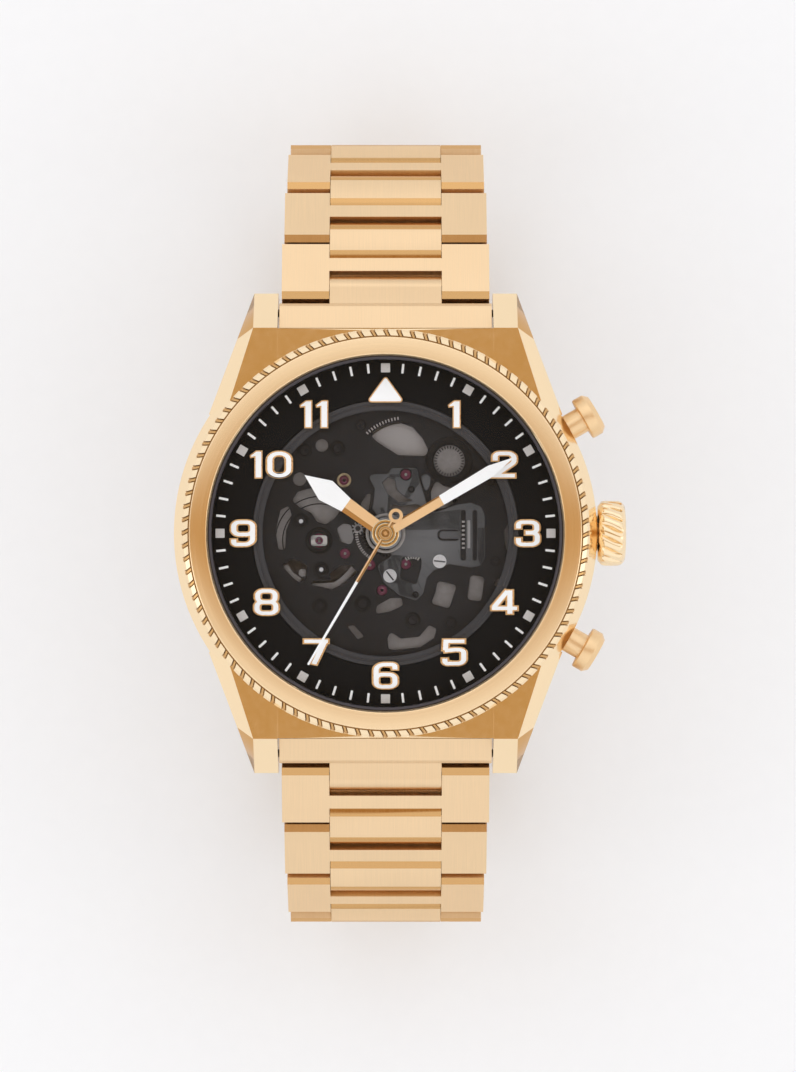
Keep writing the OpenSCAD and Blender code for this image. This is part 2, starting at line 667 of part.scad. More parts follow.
module setting_lever() color("silver") translate([7.2, 0, stem_z]) difference() {
    translate([0, -1.2, -0.85]) cube([0.5, 2.4, 1.05]);
    translate([-1, 0, 0]) rotate([0, 90, 0]) cylinder(r = stem_r + slip, h = 3);
    translate([-1, -stem_r - slip, 0]) cube([3, 2 * (stem_r + slip), 2]);
}

module pusher(angle) color("gold") rotate([0, 0, angle]) translate([19.8, 0, pusher_z])
    rotate([0, 90, 0]) rotate_extrude() polygon([
        [0, 0], [1.35, 0], [1.35, 3.85], [pusher_d / 2 - 0.1, 3.85], [pusher_d / 2, 3.95],
        [pusher_d / 2, 5.0], [pusher_d / 2 - 0.45, 5.5], [0, 5.5]]);
module pusher_2() pusher(pusher_angle);
module pusher_4() pusher(-pusher_angle);

// ---------------------------------------------------------------- bracelet

spring_bar_at = [22.95, 4.1];
spring_bar_r = 0.6;
spring_tip_r = 0.4;
module spring_bars() color("silver") mirrored_y() {
    bar_x(spring_bar_r, 21.6, spring_bar_at[0], spring_bar_at[1]);
    bar_x(spring_tip_r, lug_gap + 1.8, spring_bar_at[0], spring_bar_at[1]);
}

end_link_y = case_end_y + 0.1;
module end_link() difference() {
    union() {
        side_extrude(-bracelet_w / 2, bracelet_w / 2) polygon([
            [end_link_y, 2.6], [end_link_y, 7.6], [first_pin[0] - half_t - end_gap - 0.3, 6.9],
            [first_pin[0] - half_t - end_gap, 6.6],
            [first_pin[0] - half_t - end_gap, 3.1], [23.2, 2.6]]);
        side_extrude(-centre_w / 2, centre_w / 2) translate(first_pin) {
            circle(r = centre_end_r);
            polygon([[-2.5, -half_t], [0, -half_t], [0, centre_end_r], [-2.5, centre_end_r + 0.4]]);
        }
    }
    bar_x(pin_hole_r, 30, first_pin[0], first_pin[1]);
    bar_x(spring_bar_r + slip, 30, spring_bar_at[0], spring_bar_at[1]);
}
module end_link_12() color("gold") end_link();
module end_link_6() color("gold") mirror([0, 1, 0]) end_link();

// length and depth of the polished bevel on the end of a link that faces the case
case_bevel = [0.7, 0.4];

// outline of a link's outer block: u runs along the link from its own pin, w is outward
module block_outline() {
    far = link_pitch - half_t - end_gap;
    bevel = 0.25;
    circle(r = half_t);
    polygon([
        [0, -half_t], [far - bevel, -half_t], [far, -half_t + bevel], [far, half_t],
        [case_bevel[0] - half_t, half_t], [-half_t, half_t - case_bevel[1]], [-half_t, 0], [0, 0]]);
}

// outline of a centre link, pinned at u = link_pitch to the next link
centre_start = 3.15;
module centre_outline() {
    translate([link_pitch, 0]) circle(r = centre_end_r);
    polygon([
        [centre_start, -half_t + 0.2], [centre_start + 0.2, -half_t], [link_pitch, -half_t],
        [link_pitch, centre_end_r], [centre_start + case_bevel[0] + 0.1, centre_end_r],
        [centre_start, centre_end_r - case_bevel[1]]]);
}

fixed_pin_u = 3.9;
crossbar = [1.6, 3.05];
// link i in its own frame: the H-shaped outer link, the centre link and their two pins
module link(i) {
    half_w = link_w(i) / 2;
    inner = centre_w / 2 + slip;
    difference() {
        union() {
            mirrored_x() side_extrude(inner, half_w) block_outline();
            side_extrude(-inner - 0.2, inner + 0.2)
                polygon([
                    [crossbar[0], -1.0], [crossbar[1], -1.0], [crossbar[1], half_t], [crossbar[0], half_t]]);
        }
        for (u = [0, fixed_pin_u]) bar_x(pin_hole_r, 30, u, 0);
    }
    difference() {
        side_extrude(-centre_w / 2, centre_w / 2) centre_outline();
        for (u = [fixed_pin_u, link_pitch]) bar_x(pin_hole_r, 30, u, 0);
    }
    for (u = [0, fixed_pin_u]) bar_x(pin_r, 2 * half_w - 0.4, u, 0);
}

module placed_link(i) translate([0, link_pin(i - 1)[0], link_pin(i - 1)[1]])
    rotate([-link_tilt[i - 1], 0, 0]) link(i);
module link_12(i) color("gold") placed_link(i);
module link_6(i) color("gold") mirror([0, 1, 0]) placed_link(i);

// ---------------------------------------------------------------- clasp

cover_pin = [-16.5, clasp_pin[1] - 0.35];     // joins the cover to the outer blade
fold_pin = [15.5, clasp_pin[1] + 0.3];        // joins the two blades
blade_t = 0.8;
knuckle_r = 0.75;
knuckle_half = 3.5;
outer_blade_z = clasp_pin[1] - 0.75;
inner_blade_z = clasp_pin[1] + 0.3;
cover_half = link_w(link_count) / 2;
clear_of_link = clasp_pin[0] - 1.6;            // half length of the plates between the end centre links

module clasp_cover() color("gold") {
    difference() {
        union() {
            // the outer plate and its side walls
            side_extrude(-cover_half, cover_half) polygon([
                [-clear_of_link, clasp_pin[1] - 1.9], [clear_of_link, clasp_pin[1] - 1.9],
                [clear_of_link, clasp_pin[1] - 1.0], [-clear_of_link, clasp_pin[1] - 1.0]]);
            mirrored_x() side_extrude(cover_inner, cover_half) clasp_wall_outline();
            mirrored_x() side_extrude(centre_w / 2 + 0.15, cover_half) ear_outline();
        }
        bar_x(pin_hole_r, 30, cover_pin[0], cover_pin[1]);
        bar_x(pin_hole_r, 30, clasp_pin[0], clasp_pin[1]);
        mirrored_x() translate([7, 6.4, clasp_pin[1] - 0.85]) cube([5, 3.2, 1.2]);
    }
    bar_x(pin_r, 2 * cover_half - 0.2, cover_pin[0], cover_pin[1]);
}

module clasp_wall_outline() {
    translate([-clasp_pin[0], clasp_pin[1]]) circle(r = half_t);
    polygon([
        [-clasp_pin[0] - half_t, clasp_pin[1]], [-clasp_pin[0] - half_t, clasp_pin[1] - 1.7],
        [-clasp_pin[0] - half_t + 0.2, clasp_pin[1] - 1.9], [clear_of_link, clasp_pin[1] - 1.9],
        [clear_of_link, clasp_pin[1] + 0.6], [-clasp_pin[0], clasp_pin[1] + 0.6],
        [-clasp_pin[0], clasp_pin[1]]]);
}

ear_r = half_t - 0.2;
module ear_outline() {
    translate(clasp_pin) circle(r = ear_r);
    polygon([
        [clear_of_link - 0.5, clasp_pin[1] - 1.9], [clasp_pin[0] + ear_r - 0.3, clasp_pin[1] - 1.9],
        [clasp_pin[0] + ear_r, clasp_pin[1] - 1.6], [clasp_pin[0] + ear_r, clasp_pin[1]],
        [clasp_pin[0], clasp_pin[1]], [clasp_pin[0], clasp_pin[1] + 0.6],
        [clear_of_link - 0.5, clasp_pin[1] + 0.6]]);
}

module clasp_outer_blade() color("silver") difference() {
    union() {
        translate([-blade_half, cover_pin[0], outer_blade_z])
            cube([2 * blade_half, fold_pin[0] - cover_pin[0] - 0.95, blade_t]);
        translate([-knuckle_half, cover_pin[0], outer_blade_z])
            cube([2 * knuckle_half, fold_pin[0] - cover_pin[0], blade_t]);
        bar_x(0.62, 2 * blade_half, cover_pin[0], cover_pin[1]);
        bar_x(knuckle_r, 2 * knuckle_half, fold_pin[0], fold_pin[1]);
    }
    bar_x(pin_hole_r, 30, cover_pin[0], cover_pin[1]);
    bar_x(pin_hole_r, 30, fold_pin[0], fold_pin[1]);
    // slots that lighten the blade
    for (y = [-10, 0]) translate([-3, y, outer_blade_z - 1]) cube([6, 7, 3]);
}

module clasp_inner_blade() color("silver") {
    difference() {
        union() {
            translate([-blade_half, -clear_of_link, inner_blade_z])
                cube([2 * blade_half, clear_of_link + fold_pin[0] - 0.95, blade_t]);
            mirrored_x() translate([knuckle_half + 0.1, 0, inner_blade_z])
                cube([blade_half - knuckle_half - 0.1, fold_pin[0], blade_t]);
            mirrored_x() translate([knuckle_half + 0.1, fold_pin[0], fold_pin[1]])
                rotate([0, 90, 0]) cylinder(r = knuckle_r, h = blade_half - knuckle_half - 0.1);
            mirrored_x() side_extrude(centre_w / 2 + slip, blade_half) {
                translate([-clasp_pin[0], clasp_pin[1]]) circle(r = half_t - 0.3);
                polygon([
                    [-clasp_pin[0], clasp_pin[1] - 0.6], [-clear_of_link + 0.5, clasp_pin[1] + 0.3],
                    [-clear_of_link + 0.5, clasp_pin[1] + 1.1], [-clasp_pin[0], clasp_pin[1] + 1.1]]);
            }
        }
        bar_x(pin_hole_r, 30, -clasp_pin[0], clasp_pin[1]);
        bar_x(pin_hole_r, 30, fold_pin[0], fold_pin[1]);
        for (y = [-14, -4]) translate([-3, y, inner_blade_z - 1]) cube([6, 8, 3]);
    }
    bar_x(pin_r, 2 * blade_half - 0.1, -clasp_pin[0], clasp_pin[1]);
    bar_x(pin_r, 2 * blade_half - 0.1, fold_pin[0], fold_pin[1]);
}

module clasp_button() translate([7.35, 6.5, clasp_pin[1] - 0.8]) cube([2.45, 3.0, 1.1]);
module clasp_button_right() color("gold") clasp_button();
module clasp_button_left() color("gold") mirror([1, 0, 0]) clasp_button();

// ---------------------------------------------------------------- what is drawn

case_middle();
bezel();
crystal();
crystal_gasket();
case_back();
case_back_crystal();
casing_ring();
dial_ring();
dial_glass();
hour_markers();
hour_hand();
minute_hand();
seconds_hand();
hour_wheel();
cannon_pinion();
minute_wheel();
main_plate();
train_bridge();
balance_cock();
movement_jewels();
movement_screws();
barrel();
centre_wheel();
third_wheel();
fourth_wheel();
escape_wheel();
pallet_fork();
balance_wheel();
hairspring();
rotor();
crown();
setting_lever();
pusher_2();
pusher_4();
spring_bars();
end_link_12();
end_link_6();
for (i = [1 : link_count]) {
    link_12(i);
    link_6(i);
}
clasp_inner_blade();
clasp_outer_blade();
clasp_cover();
clasp_button_left();
clasp_button_right();
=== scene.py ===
import json
import math

import bmesh
import bpy
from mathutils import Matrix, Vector


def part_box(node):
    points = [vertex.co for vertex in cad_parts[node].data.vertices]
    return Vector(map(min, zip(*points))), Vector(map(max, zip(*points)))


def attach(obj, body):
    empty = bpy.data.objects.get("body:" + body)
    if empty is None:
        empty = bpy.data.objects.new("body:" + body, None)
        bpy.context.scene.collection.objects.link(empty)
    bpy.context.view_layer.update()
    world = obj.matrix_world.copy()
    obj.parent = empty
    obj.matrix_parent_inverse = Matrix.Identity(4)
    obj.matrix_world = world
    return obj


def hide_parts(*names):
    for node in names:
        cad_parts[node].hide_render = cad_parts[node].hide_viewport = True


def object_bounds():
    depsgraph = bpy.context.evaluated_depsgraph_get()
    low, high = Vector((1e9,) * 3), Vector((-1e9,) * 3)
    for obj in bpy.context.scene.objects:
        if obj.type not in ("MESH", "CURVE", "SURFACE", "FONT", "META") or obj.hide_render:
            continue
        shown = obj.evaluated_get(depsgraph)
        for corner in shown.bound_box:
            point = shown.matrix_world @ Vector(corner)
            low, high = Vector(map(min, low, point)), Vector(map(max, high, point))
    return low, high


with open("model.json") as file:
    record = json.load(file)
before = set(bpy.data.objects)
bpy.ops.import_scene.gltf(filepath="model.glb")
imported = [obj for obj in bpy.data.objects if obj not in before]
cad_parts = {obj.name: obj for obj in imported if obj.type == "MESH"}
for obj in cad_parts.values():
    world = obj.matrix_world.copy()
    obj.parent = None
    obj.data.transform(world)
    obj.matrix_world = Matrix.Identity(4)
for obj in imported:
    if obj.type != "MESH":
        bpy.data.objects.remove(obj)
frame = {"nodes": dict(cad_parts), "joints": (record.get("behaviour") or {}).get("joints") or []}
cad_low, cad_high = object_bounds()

MM = 0.001
nodes = frame["nodes"]


def top_of(node):
    """Height of a CAD node's top in millimetres."""
    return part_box(node)[1].z / MM


def foot_of(node):
    """Height of a CAD node's underside in millimetres."""
    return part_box(node)[0].z / MM


def across(node):
    """Half of a CAD node's width along X in millimetres."""
    low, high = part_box(node)
    return (high.x - low.x) / 2 / MM


# ---- materials

class Shader:
    """A node material under construction, around one Principled shader."""

    def __init__(self, name):
        self.material = bpy.data.materials.new(name)
        self.material.use_nodes = True
        self.tree = self.material.node_tree
        self.principled = self.tree.nodes["Principled BSDF"]
        self.output = self.tree.nodes["Material Output"]
        self.place = self.add("ShaderNodeTexCoord").outputs["Object"]

    def add(self, kind, **settings):
        node = self.tree.nodes.new(kind)
        for key, value in settings.items():
            setattr(node, key, value)
        return node

    def feed(self, socket, value):
        """Links or sets one input socket."""
        if isinstance(value, bpy.types.NodeSocket):
            self.tree.links.new(value, socket)
        else:
            socket.default_value = value

    def set(self, **values):
        for key, value in values.items():
            self.feed(self.principled.inputs[key.replace("_", " ")], value)

    def maths(self, operation, *values):
        node = self.add("ShaderNodeMath", operation=operation)
        for socket, value in zip(node.inputs, values):
            self.feed(socket, value)
        return node.outputs[0]

    def noise(self, place, per_mm=(1, 1, 1), detail=3.0, roughness=0.5):
        """Noise whose features are 1 / per_mm millimetres along each axis."""
        mapping = self.add("ShaderNodeMapping")
        self.feed(mapping.inputs["Vector"], place)
        mapping.inputs["Scale"].default_value = [s / MM for s in per_mm]
        texture = self.add("ShaderNodeTexNoise")
        self.feed(texture.inputs["Vector"], mapping.outputs[0])
        texture.inputs["Scale"].default_value = 1.0
        texture.inputs["Detail"].default_value = detail
        texture.inputs["Roughness"].default_value = roughness
        return texture.outputs["Fac"]

    def spread(self, value, low, high, start=0.3, end=0.7):
        """Maps a noise value onto low to high."""
        node = self.add("ShaderNodeMapRange")
        for socket, number in zip(node.inputs, (value, start, end, low, high)):
            self.feed(socket, number)
        return node.outputs[0]

    def blend(self, factor, first, second):
        node = self.add("ShaderNodeMix", data_type="RGBA")
        self.feed(node.inputs["Factor"], factor)
        for socket, colour in (("A", first), ("B", second)):
            linked = isinstance(colour, bpy.types.NodeSocket)
            self.feed(node.inputs[socket], colour if linked else (*colour, 1))
        return node.outputs["Result"]

    def bump(self, height, depth_mm, strength=1.0):
        node = self.add("ShaderNodeBump")
        node.inputs["Strength"].default_value = strength
        node.inputs["Distance"].default_value = depth_mm * MM
        self.feed(node.inputs["Height"], height)
        self.set(Normal=node.outputs[0])

    def round_place(self):
        """The place as (radius, height, turn) about the Z axis, for circular brushing."""
        parts = self.add("ShaderNodeSeparateXYZ")
        self.feed(parts.inputs[0], self.place)
        x, y, z = parts.outputs
        radius = self.maths("SQRT", self.maths("ADD", self.maths("MULTIPLY", x, x),
                                               self.maths("MULTIPLY", y, y)))
        turn = self.maths("MULTIPLY", self.maths("ARCTAN2", y, x), MM)
        joined = self.add("ShaderNodeCombineXYZ")
        for socket, value in zip(joined.inputs, (radius, z, turn)):
            self.feed(socket, value)
        return joined.outputs[0]


def metal(name, colour, rough, per_mm=(4, 4, 4), depth_mm=0.002, rough_swing=0.06, shade=0.9,
          around=False, brushed=0.0, axis="Z"):
    """A metal with grain, patches of slightly darker colour and, if brushed, streaked highlights."""
    s = Shader(name)
    place = s.round_place() if around else s.place
    grain = s.noise(place, per_mm)
    patches = s.noise(s.place, (0.16, 0.16, 0.16), 4.0)
    tone = s.maths("MULTIPLY", s.spread(grain, 0.4, 1.0), s.spread(patches, 0.7, 1.0))
    s.set(Base_Color=s.blend(tone, [c * shade for c in colour], colour), Metallic=1.0)
    s.set(Roughness=s.spread(grain, rough - rough_swing, rough + rough_swing))
    s.bump(grain, depth_mm)
    if brushed:
        tangent = s.add("ShaderNodeTangent", direction_type="RADIAL", axis=axis)
        # a quarter turn, because the highlight spreads across the brushing
        s.set(Anisotropic=brushed, Anisotropic_Rotation=0.25, Tangent=tangent.outputs[0])
    return s.material


def matt(name, colour, rough, per_mm=(6, 6, 6), depth_mm=0.004, shade=0.8, coat=0.0, metallic=0.0,
         specular=0.5, painted_glow=0.0, shade_fade=None):
    """Paint, lacquer, rubber or another finish with a fine grain. painted_glow is painted light: the paint
    glows a little to look brighter, though it is no lamp.

    shade_fade is a centre, two distances from it in millimetres, and the share of the colour left at the
    second. It is painted shade: the colour darkens away from the centre.
    """
    s = Shader(name)
    grain = s.noise(s.place, per_mm)
    patches = s.noise(s.place, (0.3, 0.3, 0.3), 4.0)
    tone = s.maths("MULTIPLY", s.spread(grain, 0.5, 1.0), s.spread(patches, 0.6, 1.0))
    base = s.blend(tone, [c * shade for c in colour], colour)
    # painted shade: the colour darkens with distance from the centre
    if shade_fade:
        centre, near, far, left = shade_fade
        away = s.add("ShaderNodeVectorMath", operation="DISTANCE")
        s.feed(away.inputs[0], s.place)
        away.inputs[1].default_value = [c * MM for c in centre]
        share = s.spread(away.outputs["Value"], 0.0, 1.0, near * MM, far * MM)
        base = s.blend(share, base, [c * left for c in colour])
    s.set(Base_Color=base, Metallic=metallic)
    s.set(Roughness=s.spread(grain, rough - 0.08, rough + 0.08), Coat_Weight=coat)
    s.set(Coat_Roughness=0.08, Specular_IOR_Level=specular)
    # painted light: a faint glow that brightens the paint
    s.set(Emission_Color=(1, 1, 0.98, 1), Emission_Strength=painted_glow)
    s.bump(grain, depth_mm)
    return s.material


def glass(name, tint, gloss, haze=0.0, haze_colour=(0.5, 0.5, 0.5)):
    """Thin clear or smoked glass: light passes straight through, tinted, under a faint gloss."""
    s = Shader(name)
    smear = s.noise(s.place, (0.12, 0.12, 0.12), 5.0)
    clear = s.add("ShaderNodeBsdfTransparent")
    s.feed(clear.inputs["Color"], s.blend(s.spread(smear, 0, 1), [t * 0.96 for t in tint], tint))
    shiny = s.add("ShaderNodeBsdfGlossy")
    s.feed(shiny.inputs["Roughness"], s.spread(smear, 0.02, 0.08))
    cloudy = s.add("ShaderNodeBsdfDiffuse")
    cloudy.inputs["Color"].default_value = (*haze_colour, 1)
    fresnel = s.add("ShaderNodeFresnel")
    fresnel.inputs["IOR"].default_value = 1.5
    first = s.add("ShaderNodeMixShader")
    s.feed(first.inputs["Fac"], haze)
    s.feed(first.inputs[1], clear.outputs[0])
    s.feed(first.inputs[2], cloudy.outputs[0])
    second = s.add("ShaderNodeMixShader")
    s.feed(second.inputs["Fac"], s.maths("MULTIPLY", fresnel.outputs[0], gloss))
    s.feed(second.inputs[1], first.outputs[0])
    s.feed(second.inputs[2], shiny.outputs[0])
    s.feed(s.output.inputs["Surface"], second.outputs[0])
    return s.material


PLATE_TOP = top_of("main_plate")
PLATE_FOOT = foot_of("main_plate")
GOLD = (0.90, 0.63, 0.35)
PALE_GOLD = (0.96, 0.75, 0.48)
PAINTED_SHADE_GOLD = (0.66, 0.38, 0.15)
STEEL = (0.62, 0.61, 0.60)
finish = {
    "polished": metal("gold_polished", PALE_GOLD, 0.12, (1.5, 1.5, 1.5), 0.0005, 0.02, 0.97),
    "brushed": metal("gold_brushed", (0.86, 0.62, 0.37), 0.36, (14, 0.25, 0.25), 0.004, 0.08, 0.86,
                     brushed=0.5, axis="X"),
    "ring": metal("gold_ring", (0.98, 0.73, 0.44), 0.22, (16, 1, 0.4), 0.001, 0.03, 0.93,
                  around=True, brushed=1.0),
    "rim": metal("gold_rim", (0.88, 0.55, 0.26), 0.3, (6, 6, 6), 0.001, 0.05, 0.9),
    "edge": metal("gold_edge", PALE_GOLD, 0.2, (3, 3, 3), 0.001, 0.05, 0.92),
    # painted shade: a dark brown gold for grooves, the bezel seam and lines round hubs
    "groove": metal("gold_groove_painted_shade", (0.42, 0.23, 0.08), 0.3, (5, 5, 5), 0.001, 0.05, 0.8),
    "satin": metal("gold_satin", GOLD, 0.34, (6, 6, 6), 0.0015, 0.05, 0.93),
    "hand": metal("gold_hand", (1.0, 0.67, 0.36), 0.42, (6, 6, 6), 0.0015, 0.05, 0.95),
    "hand_shade": metal("gold_hand_shade", (0.52, 0.24, 0.07), 0.4, (6, 6, 6), 0.0015, 0.05, 0.93),
    # painted shade: a darker copy of the gold for slopes and facets, standing for darker reflections
    "bevel": metal("gold_bevel_painted_shade", PAINTED_SHADE_GOLD, 0.16, (8, 0.6, 0.6), 0.0008, 0.04, 0.93),
    "works_gold": metal("gold_works", (0.78, 0.58, 0.34), 0.35, (8, 8, 8), 0.003),
    "steel": metal("steel_bright", STEEL, 0.25, (10, 10, 10), 0.002),
    # the movement's greys darken away from the dial's middle: painted shade
    "works": matt("works_grey", (0.050, 0.050, 0.052), 0.45, (2, 14, 2), 0.005, 0.75, specular=0.15,
                   shade_fade=((1.0, 0.0, PLATE_TOP), 4, 14, 0.45)),
    "works_raised": matt("works_raised", (0.20, 0.20, 0.20), 0.5, (1.5, 12, 1.5), 0.004, 0.85, specular=0.15,
                         shade_fade=((3.5, 0.5, PLATE_TOP), 2.5, 9.5, 0.35)),
    "works_dark": matt("works_dark", (0.009, 0.009, 0.0095), 0.4, (8, 8, 8), 0.004, specular=0.25),
    "works_wheel": matt("works_wheel", (0.42, 0.41, 0.40), 0.4, (10, 10, 10), 0.003, 0.8, metallic=0.3),
    "works_floor": matt("works_floor", (0.50, 0.465, 0.43), 0.5, (2.5, 2.5, 2.5), 0.01, 0.6, metallic=0.1),
    "works_pale": matt("works_pale", (0.68, 0.64, 0.60), 0.45, (3, 3, 3), 0.006, 0.8, metallic=0.15),
    "blade": metal("blade_steel", (0.86, 0.62, 0.36), 0.3, (12, 0.3, 0.3), 0.003, 0.08, 0.88),
    "black": matt("dial_black", (0.006, 0.006, 0.0065), 0.5, (9, 9, 9), 0.003, specular=0.1),
    "lacquer": matt("casing_black", (0.012, 0.012, 0.013), 0.55, specular=0.15),
    # the white paints carry painted light, a faint glow
    "white": matt("dial_white", (0.95, 0.94, 0.92), 0.55, (12, 12, 12), 0.003, 0.95, painted_glow=0.05),
    "lume": matt("lume_white", (0.96, 0.96, 0.95), 0.6, (16, 16, 16), 0.003, 0.96, painted_glow=0.16),
    "silver_pad": matt("silver_pad", (0.80, 0.80, 0.80), 0.35, (12, 12, 12), 0.003, 0.9, metallic=0.3),
    "rubber": matt("gasket_rubber", (0.055, 0.045, 0.05), 0.6),
    "ruby": matt("jewel_red", (0.40, 0.07, 0.17), 0.12, (3, 3, 3), 0.001, 0.8, coat=1.0),
    "spring": metal("spring_steel", (0.45, 0.47, 0.52), 0.3, (14, 14, 14), 0.002),
    "clear": glass("crystal_glass", (1.0, 1.0, 1.0), 0.15),
    "smoked": glass("smoked_glass", (0.92, 0.92, 0.93), 0.15, 0.015, (0.3, 0.3, 0.31)),
    "smoked_ring": glass("smoked_ring", (0.6, 0.6, 0.61), 0.3, 0.16, (0.36, 0.36, 0.38)),
}


# ---- building pieces

def settle(obj, material, body, replaced=()):
    """Gives a new piece its material and body, and hides the CAD nodes that it stands for."""
    obj.data.materials.clear()
    obj.data.materials.append(finish[material])
    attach(obj, body)
    if replaced:
        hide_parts(*replaced)
    return obj


def piece(name, points, faces, smooth=False):
    """A mesh object from points in millimetres."""
    mesh = bpy.data.meshes.new(name)
    mesh.from_pydata([Vector(p) * MM for p in points], [], faces)
    work = bmesh.new()
    work.from_mesh(mesh)
    bmesh.ops.remove_doubles(work, verts=work.verts, dist=1e-7)
    bmesh.ops.recalc_face_normals(work, faces=work.faces)
    work.to_mesh(mesh)
    work.free()
    mesh.shade_smooth() if smooth else mesh.shade_flat()
    obj = bpy.data.objects.new(name, mesh)
    bpy.context.scene.collection.objects.link(obj)
    return obj


def rings(name, rows, smooth=False, closed=False):
    """A mesh through rows of points, each row a closed ring with as many points as the others."""
    count = len(rows[0])
    points = [p for row in rows for p in row]
    pairs = len(rows) if closed else len(rows) - 1
    faces = []
    for j in range(pairs):
        here, there = j * count, (j + 1) % len(rows) * count
        for i in range(count):
            k = (i + 1) % count
            faces.append((here + i, here + k, there + k, there + i))
    return piece(name, points, faces, smooth)


def turned(name, profile, centre=(0, 0), steps=160, smooth=True):
    """A solid of revolution about a vertical axis. profile holds (radius, height) points."""
    rows = [[(centre[0] + r * math.cos(math.tau * i / steps),
              centre[1] + r * math.sin(math.tau * i / steps), z) for i in range(steps)]
            for r, z in profile]
    obj = rings(name, rows, closed=True)
    if smooth:
        soften(obj)
    return obj


def soften(obj, angle=35):
    """Shades curved stretches smooth and leaves edges sharper than angle."""
    obj.data.shade_smooth()
    obj.data.set_sharp_from_angle(angle=math.radians(angle))


def join(name, objects):
    """One object from several."""
    work = bmesh.new()
    for obj in objects:
        obj.data.transform(obj.matrix_world)
        work.from_mesh(obj.data)
        bpy.data.objects.remove(obj)
    mesh = bpy.data.meshes.new(name)
    work.to_mesh(mesh)
    work.free()
    obj = bpy.data.objects.new(name, mesh)
    bpy.context.scene.collection.objects.link(obj)
    return obj


def cut_plate(name, outlines, low, high, edge=0.05, inset=0.0):
    """A flat plate between two heights. Outlines inside another are holes. Its rims are rounded by edge."""
    curve = bpy.data.curves.new(name + "_outline", "CURVE")
    curve.dimensions = "2D"
    curve.fill_mode = "BOTH"
    curve.extrude = ((high - low) / 2 - edge) * MM
    curve.bevel_depth = edge * MM
    curve.bevel_resolution = 1
    curve.offset = -(edge + inset) * MM
    for outline in outlines:
        spline = curve.splines.new("POLY")
        spline.points.add(len(outline) - 1)
        for point, (x, y) in zip(spline.points, outline):
            point.co = (x * MM, y * MM, 0, 1)
        spline.use_cyclic_u = True
    shape = bpy.data.objects.new(name + "_shape", curve)
    bpy.context.scene.collection.objects.link(shape)
    bpy.context.view_layer.update()
    graph = bpy.context.evaluated_depsgraph_get()
    mesh = bpy.data.meshes.new_from_object(shape.evaluated_get(graph))
    mesh.name = name
    bpy.data.objects.remove(shape)
    for vertex in mesh.vertices:
        vertex.co.z += (low + high) / 2 * MM
    obj = bpy.data.objects.new(name, mesh)
    bpy.context.scene.collection.objects.link(obj)
    soften(obj, 40)
    return obj


def circle(x, y, radius, steps=48):
    return [(x + radius * math.cos(math.tau * i / steps), y + radius * math.sin(math.tau * i / steps))
            for i in range(steps)]


def rounded(corners, radius, closed=True, steps=6):
    """Points along straight lines through corners, with each corner rounded."""
    count = len(corners)
    points = []
    for i, corner in enumerate(corners):
        if not closed and i in (0, count - 1):
            points.append(tuple(corner[:2]))
            continue
        here = Vector(corner[:2])
        before = Vector(corners[i - 1][:2]) - here
        after = Vector(corners[(i + 1) % count][:2]) - here
        half = before.angle(after) / 2
        reach = min(radius / math.tan(half), before.length * 0.499, after.length * 0.499)
        r = reach * math.tan(half)
        middle = here + (before.normalized() + after.normalized()).normalized() * (r / math.sin(half))
        start, end = here + before.normalized() * reach, here + after.normalized() * reach
        first = math.atan2(*reversed(start - middle))
        swing = (math.atan2(*reversed(end - middle)) - first + math.pi) % math.tau - math.pi
        for k in range(steps + 1):
            a = first + swing * k / steps
            points.append((middle.x + r * math.cos(a), middle.y + r * math.sin(a)))
    return points


def sector(r_in, r_out, start, end, centre=(0, 0), steps=20):
    """A ring sector between two angles in degrees, measured from +X."""
    angles = [math.radians(start + (end - start) * i / steps) for i in range(steps + 1)]
    arc = [(centre[0] + r_out * math.cos(a), centre[1] + r_out * math.sin(a)) for a in angles]
    return arc + [(centre[0] + r_in * math.cos(a), centre[1] + r_in * math.sin(a)) for a in reversed(angles)]


def shifted(points, dx, dy, angle=0.0):
    c, s = math.cos(math.radians(angle)), math.sin(math.radians(angle))
    return [(dx + x * c - y * s, dy + x * s + y * c) for x, y in points]


def box_outline(x, y, width, height, radius=0.15, angle=0.0):
    w, h = width / 2, height / 2
    return shifted(rounded([(-w, -h), (w, -h), (w, h), (-w, h)], radius), x, y, angle)


def stroke(path, width, closed):
    """Outlines of a line of constant width along path: one if open, an outer and an inner one if closed."""
    count = len(path)
    left, right = [], []
    for i, (x, y) in enumerate(path):
        here = Vector((x, y))
        ways = []
        if closed or i > 0:
            ways.append((here - Vector(path[i - 1])).normalized())
        if closed or i < count - 1:
            ways.append((Vector(path[(i + 1) % count]) - here).normalized())
        way = sum(ways, Vector((0, 0))).normalized()
        side = Vector((-way.y, way.x))
        reach = width / 2 / max(0.5, side.dot(Vector((-ways[0].y, ways[0].x))))
        left.append(tuple(here + side * reach))
        right.append(tuple(here - side * reach))
    return [left, right] if closed else [left + right[::-1]]


def turn_clock(points, angle):
    """Points drawn along +Y, turned clockwise to a clock angle in degrees."""
    a = math.radians(angle)
    return [(x * math.cos(a) + y * math.sin(a), -x * math.sin(a) + y * math.cos(a)) for x, y in points]


# ---- CAD pieces that stay

